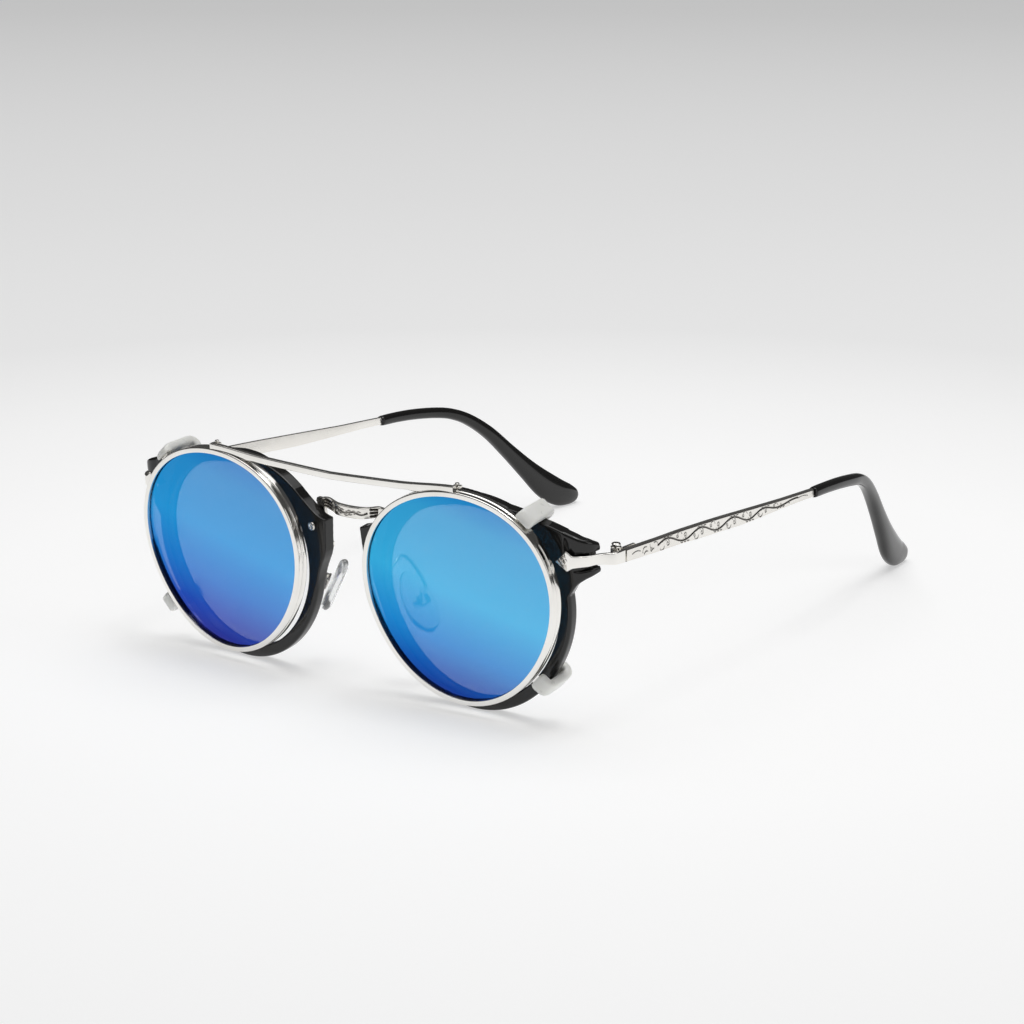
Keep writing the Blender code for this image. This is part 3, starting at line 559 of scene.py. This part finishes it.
def brow_bar_shape():
    """Flat bar over the bridge, whose ends widen down to meet the clip-on rims."""
    half = np.array([(0, 21.65, 1.5), (5, 21.8, 1.5), (10, 22.0, 1.5), (15, 22.2, 1.5),
                     (20, 22.45, 1.5), (24, 22.9, 1.3), (27, 23.3, 1.1), (30, 23.6, 1.0),
                     (33.0, 23.75, 1.0)])
    path = smooth_path(half, 8)
    reach, overlap, widen_from, widen_over = 23.5, 0.35, 21, 4.5
    rings = []
    for x, z, height in path:
        low, high = z - height / 2, z + height / 2
        dx = x - LENS_CENTRE_X
        angle = math.acos(max(-1, min(1, dx / reach)))
        top = CLIP_OPENING_R * (1 + CLIP_LOBE * math.sin(3 * angle)) + CLIP_RIM_WIDTH
        rim_z = math.sqrt(max(top * top - dx * dx, 0)) - overlap
        weight = min(1, max(0, (x - widen_from) / widen_over))
        low = low + (min(low, rim_z) - low) * weight if weight else low
        rings.append(fillet([(x, 0.2, low), (x, 0.2, high), (x, 1.45, high), (x, 1.45, low)],
                            0.25, 4))
    rings = np.array(rings)
    mirrored = rings[:0:-1] * (-1, 1, 1)
    return loft(np.concatenate((mirrored, rings)))


VERTS, FACES = brow_bar_shape()
piece("brow_bar_strip", (brow_frame(1, VERTS), FACES), SILVER, "clip_on",
      ["brow_bar"])


# ---- hooks and sleeves ----
# Each hook: its angle on the lens in degrees, then the radii of its root and band, the v of
# its back and the radius of its tip.
HOOKS = {"upper": (48.5, 24.35, 25.8, 10.1, 23.4), "lower": (-41.5, 23.5, 26.75, 9.5, 24.3)}


def hook_route(root, band, back, tip):
    """(radius, v) points from the clip-on rim, over the black rim and in behind it."""
    return [(root, 1.4), (root + 0.5 * (band - root), 1.45), (band - 0.45, 1.75),
            (band - 0.1, 2.4), (band, 3.4), (band, 6.0), (band, back - 1.6),
            (band - 0.25, back - 0.6), (band - 0.95, back), (band - 1.6, back + 0.1),
            (tip, back + 0.1)]


def band_rings(degrees, route, width, thickness, corner, swell=0.0):
    """Rings of a flat band that follows (radius, v) points at one angle on the lens."""
    angle = math.radians(degrees)
    radial = np.array((math.cos(angle), 0, math.sin(angle)))
    sideways = np.array((-math.sin(angle), 0, math.cos(angle)))
    back = np.array((0, 1.0, 0))
    path = smooth_path(route, 5)
    run = np.gradient(path, axis=0)
    run /= np.linalg.norm(run, axis=1, keepdims=True)
    w, t = width / 2, thickness / 2
    section = fillet([(w, -t), (w, t), (-w, t), (-w, -t)], corner, 5)
    rings = []
    count = len(path)
    for i, ((radius, v), (rx, ry)) in enumerate(zip(path, run)):
        centre = radial * radius + back * v
        across = radial * -ry + back * rx
        end = min(i, count - 1 - i) / 3
        size = 1 - swell * max(0, 1 - end) ** 2
        rings.append([centre + sideways * a * size + across * b * size for a, b in section])
    return np.array(rings)


for SIDE, SUFFIX in SIDES:
    for NAME, (DEGREES, ROOT, BAND, BACK, TIP) in HOOKS.items():
        RINGS = band_rings(DEGREES, hook_route(ROOT, BAND, BACK, TIP + 0.5), 2.4, 0.5, 0.12)
        VERTS, FACES = loft(RINGS)
        piece(f"hook_strip_{NAME}_{SUFFIX}", (lens_frame(SIDE, VERTS), FACES), SILVER,
              "clip_on", [f"clip_hook_{NAME}_{SUFFIX}"])
        COVER = [(ROOT + 0.35, 1.42)] + hook_route(ROOT, BAND, BACK, TIP)[1:]
        OUTER = band_rings(DEGREES, COVER, 4.0, 1.9, 0.75, 0.16)
        INNER = band_rings(DEGREES, COVER, 2.7, 0.8, 0.25)
        VERTS, FACES = hollow(OUTER, INNER)
        piece(f"sleeve_{NAME}_{SUFFIX}", (lens_frame(SIDE, VERTS), FACES), SILICONE,
              "clip_on", [f"hook_sleeve_{NAME}_{SUFFIX}"], smooth=50)


# ---- turned pieces ----
def turned(profile, steps=40):
    """A solid of revolution about z from (radius, height) points, both ends on the axis."""
    a = np.linspace(0, math.tau, steps, endpoint=False)
    inner = np.array(profile[1:-1], float)
    rings = np.zeros((len(inner), steps, 3))
    rings[:, :, 0] = inner[:, :1] * np.cos(a)
    rings[:, :, 1] = inner[:, :1] * np.sin(a)
    rings[:, :, 2] = inner[:, 1:]
    verts = np.vstack((rings.reshape(-1, 3), (0, 0, profile[0][1]), (0, 0, profile[-1][1])))
    faces = grid_faces(len(inner), steps)
    first, last = len(verts) - 2, len(verts) - 1
    base = (len(inner) - 1) * steps
    for j in range(steps):
        k = (j + 1) % steps
        faces += [(first, k, j), (last, base + j, base + k)]
    return verts, faces


def facing_front(part, x, z):
    """Lay a turned part so that its height runs to the front at (x, z)."""
    verts, faces = part
    return np.stack((verts[:, 0] + x, -verts[:, 2], verts[:, 1] + z), 1), faces


def rivet_head(head, shank, v_head, v_seat, v_end):
    """Head with a raised ring round a dished middle, then the shank."""
    dish = v_head + 0.3
    return turned([(0, -dish + 0.12), (0.20 * head, -dish + 0.1), (0.30 * head, -dish),
                   (0.46 * head, -dish + 0.02), (0.54 * head, -v_head - 0.05),
                   (0.60 * head, -v_head), (0.82 * head, -v_head),
                   (0.93 * head, -v_head - 0.05),
                   (head, -v_head - 0.16), (head, -v_seat), (shank, -v_seat),
                   (shank, -v_end), (0, -v_end)])


for SIDE, SUFFIX in SIDES:
    for NAME, (X, Z), SIZES in (("bridge_rivet", NASAL_RIVET, (0.95, 0.55, 4.6, 4.95, 9.4)),
                                ("plate_rivet", PLATE_RIVET, (0.8, 0.5, 3.85, 4.75, 7.3))):
        VERTS, FACES = facing_front(rivet_head(*SIZES), X, Z)
        piece(f"{NAME}_pin_{SUFFIX}", (lens_frame(SIDE, VERTS), FACES), SILVER,
              "front", [f"{NAME}_{SUFFIX}"])


# ---- end plates ----
def end_plate_shape():
    """Diamond head on the end piece, then a strap round the corner to the hinge.

    A row holds the outer edge (x, v), the inner edge (x, v) and the low and high z.
    """
    front = [(22.1, 4.0, 22.2, 4.9, 9.8, 10.0), (24.6, 4.0, 24.6, 4.9, 8.0, 12.4),
             (25.9, 4.1, 25.8, 4.9, 8.8, 11.4)]
    strap = [(25.9, 4.1, 25.8, 4.9, 8.8, 11.4), (27.2, 4.7, 26.8, 5.4, 9.0, 11.4),
             (28.6, 6.2, 27.9, 6.7, 8.95, 11.3), (29.6, 8.1, 28.8, 8.4, 8.9, 11.1)]
    back = [(62.9, 8.2, 62.1, 8.6, 36.35, 38.8), (64.1, 9.4, 63.3, 9.8, 36.3, 38.9),
            (64.4, 12.3, 63.5, 12.3, 36.2, 39.0)]

    def design(row):
        xo, vo, xi, vi, low, high = row
        return lens_to_design([(xo, vo, low), (xi, vi, low), (xi, vi, high), (xo, vo, high)])

    def upright(row):
        xo, yo, xi, yi, low, high = row
        return np.array([(xo, yo, low), (xi, yi, low), (xi, yi, high), (xo, yo, high)])

    head = straight_path([design(row).ravel() for row in front], 7)
    tail = smooth_path([design(row).ravel() for row in strap]
                       + [upright(row).ravel() for row in back], 6)
    rings = [fillet(row.reshape(4, 3), [0.22, 0.08, 0.08, 0.22], 4)
             for row in np.vstack((head[:-1], tail))]
    return loft(rings)


PLATE = end_plate_shape()
for SIDE, SUFFIX in SIDES:
    piece("end_plate_strap_" + SUFFIX, (world_frame(SIDE, PLATE[0]), PLATE[1]), SILVER,
          "front", ["end_plate_" + SUFFIX])


# ---- engraved relief ----
def spiral(x, y, start, radius, turns, sense=1):
    """A curl that winds in towards (x, y)."""
    t = np.linspace(0, 1, 40)
    a = start + sense * t * turns * math.tau
    r = radius * (1 - 0.8 * t)
    return np.stack((x + r * np.cos(a), y + r * np.sin(a)), 1)


def stroke(a, b, sag=0.0, count=14):
    """A line from a to b that bows sideways by sag times its length."""
    t = np.linspace(0, 1, count)[:, None]
    a, b = np.array(a, float), np.array(b, float)
    side = np.array((a[1] - b[1], b[0] - a[0]))
    return a + (b - a) * t + side * sag * 4 * t * (1 - t)


def groove_shade(cuts, count):
    """How dark each of a ring's count points is; the engraved face comes first."""
    dark = np.clip(cuts / GROOVE_SHADE_DEPTH, 0, 1)
    return np.concatenate((dark, np.zeros(count - len(cuts))))


def tree_of(curves):
    points = np.vstack(curves)
    tree = kdtree.KDTree(len(points))
    for i, (x, y) in enumerate(points):
        tree.insert((x, y, 0), i)
    tree.balance()
    return tree


def groove_depth(grid, families):
    """Depth in mm at each (x, y) of grid, from (curves, half width, depth) families."""
    depth = np.zeros(len(grid))
    for curves, width, deep in families:
        tree = tree_of(curves)
        for i, (x, y) in enumerate(grid):
            distance = tree.find((x, y, 0))[2]
            if distance < width:
                depth[i] = max(depth[i], deep * (1 - (distance / width) ** 2))
    return depth


def vine(start, end, half_height, period):
    """S-shaped vine with curls and leaves, along x from start to end, in mm."""
    x = np.linspace(start, end, int((end - start) * 12))
    fade = np.clip((end - x) / 22, 0.35, 1)
    y = half_height * 0.62 * fade * np.sin(math.tau * (x - start) / period)
    main, fine = [np.stack((x, y), 1)], []
    turn_at = start + period / 4
    sign = 1
    while turn_at < end - 2:
        size = half_height * float(np.clip((end - turn_at) / 22, 0.35, 1))
        fine.append(spiral(turn_at + 0.5, -sign * 0.18 * size, math.pi / 2 * sign,
                           0.52 * size, 1.3, sense=-sign))
        fine.append(spiral(turn_at + period / 3.2, sign * 0.42 * size, math.pi * 0.9,
                           0.34 * size, 1.1, sense=sign))
        for k in range(3):
            root = (turn_at - 1.6 + 1.3 * k, sign * 0.30 * size)
            fine.append(stroke(root, (root[0] + 1.1, sign * 0.86 * size), 0.25 * sign))
        fine.append(stroke((turn_at - 2.6, -sign * 0.75 * size),
                           (turn_at - 0.9, -sign * 0.55 * size), -0.3 * sign))
        turn_at += period / 2
        sign = -sign
    return main, fine


# Rows of (x, y, z, height).
TEMPLE = [(63.9, 12.9, 37.6, 2.8), (63.9, 19, 37.4, 2.9), (63.8, 26, 37.1, 3.0),
          (63.7, 34, 36.85, 3.1), (63.6, 42.5, 36.4, 3.3), (63.4, 51, 35.95, 3.3),
          (63.3, 60, 35.45, 3.2), (63.15, 69, 35.1, 2.8), (63.0, 78, 34.8, 2.3),
          (62.9, 87, 34.55, 2.0), (62.8, 93.6, 34.3, 1.9)]
TANG = [(62.8, 93.8, 34.3, 1.2), (62.6, 99.0, 34.2, 1.1), (62.35, 104.0, 34.0, 1.0)]


def temple_shape():
    """The strip with its outer face engraved, then the thin tang inside the tip."""
    rows = smooth_path(TEMPLE, 66)
    face_rows = 34
    across = np.linspace(-1, 1, face_rows)
    main, fine = vine(25.0, 86.0, 1.35, 14.0)
    fine += [stroke((15.0, -0.1), (18.0, 0.05), 0.1), stroke((19.0, -0.5), (20.4, 0.5), 0.3),
             stroke((19.6, -0.9), (20.9, -0.5), 0.2), stroke((21.8, 0.7), (23.4, -0.3), -0.3),
             spiral(22.4, -0.5, 0.0, 0.5, 1.2), stroke((23.4, 0.9), (25.0, 0.3), 0.2),
             stroke((86.0, 0.1), (90.5, 0.0), 0.05)]
    edge = 0.09
    half = rows[:, 3] / 2
    y, z = np.meshgrid(rows[:, 1], across, indexing="ij")
    slope = 0.34
    low, high = -(half - edge), half - slope
    z = (low + high)[:, None] / 2 + z * ((high - low) / 2)[:, None]
    depth = groove_depth(np.stack((y.ravel(), z.ravel()), 1),
                         [(main, 0.22, 0.15), (fine, 0.16, 0.09)]).reshape(y.shape)
    rings, shade = [], []
    corner = np.linspace(0, math.pi / 2, 5)
    for (x, y0, z0, height), offsets, cuts in zip(rows, z, depth):
        h = height / 2
        top = [(x + 0.5 - slope * t, z0 + h - slope * (1 - t)) for t in (0.15, 0.5, 0.85, 1.0)]
        top += [(x - 0.5 + edge - edge * math.sin(a), z0 + h - edge + edge * math.cos(a))
                for a in corner]
        bottom = [(x - 0.5 + edge - edge * math.sin(a), z0 - h + edge - edge * math.cos(a))
                  for a in corner[::-1]]
        bottom += [(x + 0.5 - edge + edge * math.cos(a), z0 - h + edge - edge * math.sin(a))
                   for a in corner[::-1]]
        face = [(x + 0.5 - c, z0 + o) for o, c in zip(offsets, cuts)]
        ring = face + top + bottom
        rings.append([(px, y0, pz) for px, pz in ring])
        shade.append(groove_shade(cuts, len(ring)))
    ring = np.array(rings[-1])
    for x, y0, z0, height in TANG:
        centre = np.array((x, y0, z0))
        last = ring - ring.mean(0)
        scale = np.array((0.7, 1, height / TEMPLE[-1][3]))
        rings.append(centre + last * scale)
        shade.append(np.zeros(len(ring)))
    verts, faces = loft(rings)
    return verts, faces, np.concatenate((*shade, (0, 0)))


TEMPLE_STRIP = temple_shape()
for SIDE, SUFFIX in SIDES:
    piece("temple_strip_" + SUFFIX, (world_frame(SIDE, TEMPLE_STRIP[0]), TEMPLE_STRIP[1]),
          ENGRAVED, "temple_" + SUFFIX, ["temple_" + SUFFIX], smooth=50,
          shade=TEMPLE_STRIP[2])

# Rows of (x, y, z, height, thickness).
TIP = [(62.8, 94.0, 34.2, 2.2, 2.0), (62.75, 94.8, 34.2, 2.7, 2.5), (62.6, 100, 34.1, 2.8, 2.6),
       (62.2, 107, 33.7, 2.9, 2.8), (61.4, 115, 32.8, 3.0, 2.9), (60.3, 121, 31.6, 3.1, 3.0),
       (59.0, 127, 29.1, 3.3, 3.1), (57.3, 133.5, 24.7, 3.7, 3.3), (55.7, 140.2, 18.7, 4.4, 3.4),
       (54.1, 147, 12.5, 5.8, 3.6), (52.7, 153, 7.4, 7.6, 3.7), (51.7, 158, 4.3, 7.6, 3.7),
       (51.1, 162, 2.95, 6.25, 3.4), (50.8, 165, 2.2, 4.1, 2.7), (50.7, 166.3, 1.9, 1.8, 1.5)]


def tip_shape():
    """Ear tip: square-shouldered oval sections along the temple's bent end."""
    squareness, inset = 0.8, 0.09
    path = smooth_path(TIP, 9)
    run = np.gradient(path[:, :3], axis=0)
    rings = []
    for (x, y, z, height, thickness), (_, dy, dz) in zip(path, run):
        slope = math.atan2(dz, dy)
        a = np.linspace(0, math.tau, 40, endpoint=False)
        c, s = np.cos(a), np.sin(a)
        across = np.sign(c) * np.abs(c) ** squareness * thickness / 2
        along = np.sign(s) * np.abs(s) ** squareness * (height / 2 - inset)
        rings.append(np.stack((x + across, y - math.sin(slope) * along,
                               z + math.cos(slope) * along), 1))
    last, step = rings[-1], rings[-1].mean(0) - rings[-2].mean(0)
    middle = last.mean(0)
    for shrink, ahead in ((0.75, 0.04), (0.4, 0.08)):
        rings.append(middle + (last - middle) * shrink + step / np.linalg.norm(step) * ahead)
    return loft(rings)


EAR_TIP = tip_shape()
for SIDE, SUFFIX in SIDES:
    piece("ear_tip_" + SUFFIX, (world_frame(SIDE, EAR_TIP[0]), EAR_TIP[1]), BLACK,
          "temple_" + SUFFIX, ["temple_tip_" + SUFFIX], smooth=60)


# ---- bridge ----
# Rows of (x, front, back, low, high) for the left half.
BRIDGE = [(0.0, 6.0, 7.2, 10.4, 13.0), (3.2, 6.1, 7.3, 10.5, 13.1), (5.0, 6.9, 7.9, 10.7, 13.2),
          (6.6, 7.3, 8.3, 11.0, 13.5), (8.0, 7.4, 8.4, 11.4, 13.4), (9.1, 7.3, 8.3, 11.9, 13.1),
          (9.7, 7.2, 8.2, 12.3, 12.8)]


def bridge_shape():
    """Arched strap with an engraved front and three slots in each flared end."""
    half = [(-x, *rest) for x, *rest in reversed(BRIDGE[1:])] + BRIDGE
    rows = smooth_path(half, 16)
    face_rows = 26
    across = np.linspace(-1, 1, face_rows)
    edge = 0.22
    main, fine = vine(-4.6, 4.6, 1.0, 4.6)
    slots = [stroke((s * 5.4, level), (s * 8.2, level * 0.75), 0.0, 30)
             for s in (-1, 1) for level in (-0.75, 0.0, 0.75)]
    x, z = np.meshgrid(rows[:, 0], across, indexing="ij")
    z = z * ((rows[:, 4] - rows[:, 3]) / 2 - edge)[:, None]
    depth = groove_depth(np.stack((x.ravel(), z.ravel()), 1),
                         [(main, 0.2, 0.12), (fine, 0.15, 0.1), (slots, 0.24, 0.4)]
                         ).reshape(x.shape)
    corner = np.linspace(0, math.pi / 2, 5)
    rings, shade = [], []
    for (x0, front, back, low, high), offsets, cuts in zip(rows, z, depth):
        middle, h = (low + high) / 2, (high - low) / 2
        top = [(front + edge - edge * math.cos(a), h - edge + edge * math.sin(a))
               for a in corner[1:]]
        top += [(back - edge + edge * math.sin(a), h - edge + edge * math.cos(a))
                for a in corner]
        bottom = [(v, -o) for v, o in reversed(top)]
        face = [(front + c, o) for o, c in zip(offsets, cuts)]
        ring = face + top + bottom
        rings.append([(x0, v, middle + o) for v, o in ring])
        shade.append(groove_shade(cuts, len(ring)))
    verts, faces = loft(rings)
    return brow_frame(1, verts), faces, np.concatenate((*shade, (0, 0)))


def bridge_foot():
    """Tab behind the nasal block, which the rivet goes through."""
    x, z = NASAL_RIVET
    outline = fillet([(x - 1.1, z - 1.6), (x + 1.1, z - 1.6), (x + 1.4, 13.4), (x - 0.6, 13.4)],
                     0.4, 4)
    return loft([[(px, v, pz) for px, pz in outline] for v in (8.5, 9.3)])


VERTS, FACES, SHADE = bridge_shape()
piece("bridge_strap", (VERTS, FACES), ENGRAVED, "front", ["bridge"],
      smooth=50, shade=SHADE)
FOOT = bridge_foot()
for SIDE, SUFFIX in SIDES:
    piece("bridge_foot_" + SUFFIX, (lens_frame(SIDE, FOOT[0]), FOOT[1]), SATIN,
          "front")


# ---- nose pads ----
PAD_CENTRE = np.array((11.6, 13.6, -9.4))
PAD_UP = np.array((-0.5, 0.0, 0.866))
PAD_FACE = np.array((-0.75, 0.5, -0.433))
PAD_FACE = PAD_FACE / np.linalg.norm(PAD_FACE)
PAD_ACROSS = np.cross(PAD_UP, PAD_FACE)
PAD_ACROSS = PAD_ACROSS / np.linalg.norm(PAD_ACROSS)
PIVOT = PAD_CENTRE - PAD_FACE * 3.15
WIRE_RADIUS = 0.45


def pad_shape():
    """Soft drop-shaped pad, as rings stacked through its thickness."""
    rings = []
    for out, grow in ((-1.2, 0.45), (-1.18, 0.62), (-1.02, 0.80), (-0.75, 0.91), (-0.35, 0.98),
                      (0.1, 1.0), (0.5, 0.96), (0.8, 0.88), (1.02, 0.74), (1.15, 0.58),
                      (1.2, 0.4)):
        a = np.linspace(0, math.tau, 48, endpoint=False)
        across = 3.5 * grow * (1 - 0.18 * np.sin(a)) * np.cos(a)
        up = 7.2 * grow ** 0.6 * np.sin(a)
        rings.append(PAD_CENTRE + across[:, None] * PAD_ACROSS + up[:, None] * PAD_UP
                     + out * PAD_FACE)
    return loft(rings)


def wire_tube(points, radius, sides=18):
    """A round wire along a smooth path."""
    path = smooth_path(points, 8)
    run = np.gradient(path, axis=0)
    run /= np.linalg.norm(run, axis=1, keepdims=True)
    normal = np.cross(run[0], (0, 0, 1.0))
    rings = []
    for point, along in zip(path, run):
        normal = normal - along * (normal @ along)
        normal /= np.linalg.norm(normal)
        side = np.cross(along, normal)
        a = np.linspace(0, math.tau, sides, endpoint=False)[:, None]
        rings.append(point + radius * (np.cos(a) * normal + np.sin(a) * side))
    return loft(rings)


PAD_SHAPE = pad_shape()
ARM = wire_tube([(9.9, 7.3, 0.4), (9.7, 8.8, 0.9), (9.6, 10.8, 1.6), (10.4, 12.6, 0.6),
                 (12.4, 13.2, -2.2), (14.1, 13.2, -5.2), PIVOT - PAD_FACE * 1.7 + PAD_UP * 1.4,
                 PIVOT - PAD_FACE * 0.75], WIRE_RADIUS)
EYE_V, EYE_F = turned([(0, -0.6), (0.82, -0.6), (0.9, -0.52), (0.9, 0.52), (0.82, 0.6), (0, 0.6)])
EYE_V = PIVOT + EYE_V @ np.array((PAD_UP, PAD_FACE, PAD_ACROSS))
ARM = combined(ARM, [(EYE_V, EYE_F)])
for SIDE, SUFFIX in SIDES:
    piece("pad_soft_" + SUFFIX, (brow_frame(SIDE, PAD_SHAPE[0]), PAD_SHAPE[1]), PAD,
          "nose_pad_" + SUFFIX, ["nose_pad_" + SUFFIX], smooth=70)
    piece("pad_wire_" + SUFFIX, (brow_frame(SIDE, ARM[0]), ARM[1]), SILVER,
          "front", ["pad_arm_" + SUFFIX])


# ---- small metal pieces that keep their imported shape, with softened corners ----
for NAME, WIDTH in (("front_leaf", 0.10), ("temple_leaf", 0.10), ("hinge_screw", 0.06),
                    ("pad_box", 0.06), ("pad_screw", 0.05), ("clip_block", 0.07),
                    ("clip_screw", 0.04)):
    for _, SUFFIX in SIDES:
        OBJ = frame["nodes"][f"{NAME}_{SUFFIX}"]
        OBJ.data.materials.clear()
        OBJ.data.materials.append(SILVER)
        MOD = OBJ.modifiers.new("weld", "WELD")
        MOD.merge_threshold = 1e-6
        MOD = OBJ.modifiers.new("soft_corners", "BEVEL")
        MOD.width, MOD.segments = WIDTH * MM, 3
        MOD.limit_method, MOD.angle_limit = "ANGLE", math.radians(40)


# ---- floor, light, camera ----
FLOOR_RADIUS, FLOOR_DROP = 2.5, 0.00002
BACKDROP_TONE = 0.57


def floor():
    """Pale disc with a painted pool of light, brightest near the glasses and darker towards its
    far edge, and a painted glow that lifts the shadows on it.
    """
    bm = bmesh.new()
    bmesh.ops.create_circle(bm, cap_ends=True, segments=96, radius=FLOOR_RADIUS)
    mesh = bpy.data.meshes.new("floor")
    bm.to_mesh(mesh)
    bm.free()
    obj = bpy.data.objects.new("floor", mesh)
    bpy.context.scene.collection.objects.link(obj)
    mat, shader = principled("pale_floor_painted_light", (0.9, 0.9, 0.9), Roughness=0.75)
    shader.inputs["Specular IOR Level"].default_value = 0.2
    where = node(mat, "ShaderNodeTexCoord")
    distance = node(mat, "ShaderNodeVectorMath")
    distance.operation = "LENGTH"
    wire(mat, where, "Object", distance, 0)
    span = mat.node_tree.nodes.new("ShaderNodeMapRange")
    span.inputs["From Max"].default_value = 2.0
    wire(mat, distance, "Value", span, "Value")
    # Painted pool of light: the tone falls off with distance from the glasses.
    tone = ramp(mat, span, "Result",
                [(0.07, (0.57,)), (0.12, (0.535,)), (0.18, (0.475,)), (0.35, (0.45,)),
                 (1.0, (0.40,))])
    wire(mat, tone, "Color", shader, "Base Color")
    # Painted glow: the floor gives off light in its own tone, which lightens the shadows cast on
    # it.
    wire(mat, tone, "Color", shader, "Emission Color")
    shader.inputs["Emission Strength"].default_value = 0.88
    mesh.materials.append(mat)
    obj.location.z = -FLOOR_DROP


def area(name, place, target, size, power):
    light = bpy.data.lights.new(name, "AREA")
    light.shape, light.size, light.size_y = "RECTANGLE", *size
    light.energy = power
    obj = bpy.data.objects.new(name, light)
    obj.location = place
    obj.rotation_euler = (Vector(target) - Vector(place)).to_track_quat("-Z", "Y").to_euler()
    bpy.context.scene.collection.objects.link(obj)


def world():
    """Dark walls under a bright ceiling in reflections, and one pale tone behind the floor."""
    made = bpy.data.worlds.new("studio")
    made.use_nodes = True
    bpy.context.scene.world = made
    tree = made.node_tree
    back = tree.nodes["Background"]
    where = tree.nodes.new("ShaderNodeTexCoord")
    split = tree.nodes.new("ShaderNodeSeparateXYZ")
    tree.links.new(where.outputs["Generated"], split.inputs[0])
    colour = tree.nodes.new("ShaderNodeValToRGB")
    tree.links.new(split.outputs["Z"], colour.inputs["Fac"])
    stops = [(0.0, 0.22), (0.08, 0.12), (0.78, 0.08), (0.88, 1.4), (1.0, 1.9)]
    elements = colour.color_ramp.elements
    while len(elements) < len(stops):
        elements.new(0.5)
    for element, (place, value) in zip(elements, stops):
        element.position, element.color = place, (value, value, value, 1)
    tree.links.new(colour.outputs["Color"], back.inputs["Color"])
    back.inputs["Strength"].default_value = 0.6
    pale = tree.nodes.new("ShaderNodeBackground")
    pale.inputs["Color"].default_value = (BACKDROP_TONE,) * 3 + (1,)
    seen = tree.nodes.new("ShaderNodeLightPath")
    both = tree.nodes.new("ShaderNodeMixShader")
    tree.links.new(seen.outputs["Is Camera Ray"], both.inputs[0])
    tree.links.new(back.outputs[0], both.inputs[1])
    tree.links.new(pale.outputs[0], both.inputs[2])
    tree.links.new(both.outputs[0], tree.nodes["World Output"].inputs["Surface"])


def camera():
    """Seen from the front and the wearer's left, a little above the lenses."""
    azimuth, elevation, roll = map(math.radians, (35.14, 14.57, 0.33))
    ahead = Vector((-math.sin(azimuth) * math.cos(elevation),
                    math.cos(azimuth) * math.cos(elevation), -math.sin(elevation)))
    right = Vector((math.cos(azimuth), math.sin(azimuth), 0))
    up = right.cross(ahead)
    c, s = math.cos(roll), math.sin(roll)
    right, up = c * right + s * up, -s * right + c * up
    data = bpy.data.cameras.new("camera")
    data.lens, data.sensor_width = 94.25, 36
    obj = bpy.data.objects.new("camera", data)
    matrix = Matrix((right, up, -ahead)).transposed().to_4x4()
    matrix.translation = (0.34955, -0.51383, 0.18413)
    obj.matrix_world = matrix
    bpy.context.scene.collection.objects.link(obj)
    bpy.context.scene.camera = obj


floor()
world()
area("overhead", (-0.15, 0.25, 2.2), (0, 0, 0), (2.6, 2.1), 18.5)
area("key", (0.35, 0.1, 2.0), (0, 0, 0), (0.5, 0.5), 5.5)
area("right_side", (1.6, 0.1, 0.7), (0, 0, 0.02), (0.9, 0.9), 4)
camera()
bpy.context.scene.view_settings.view_transform = "Standard"
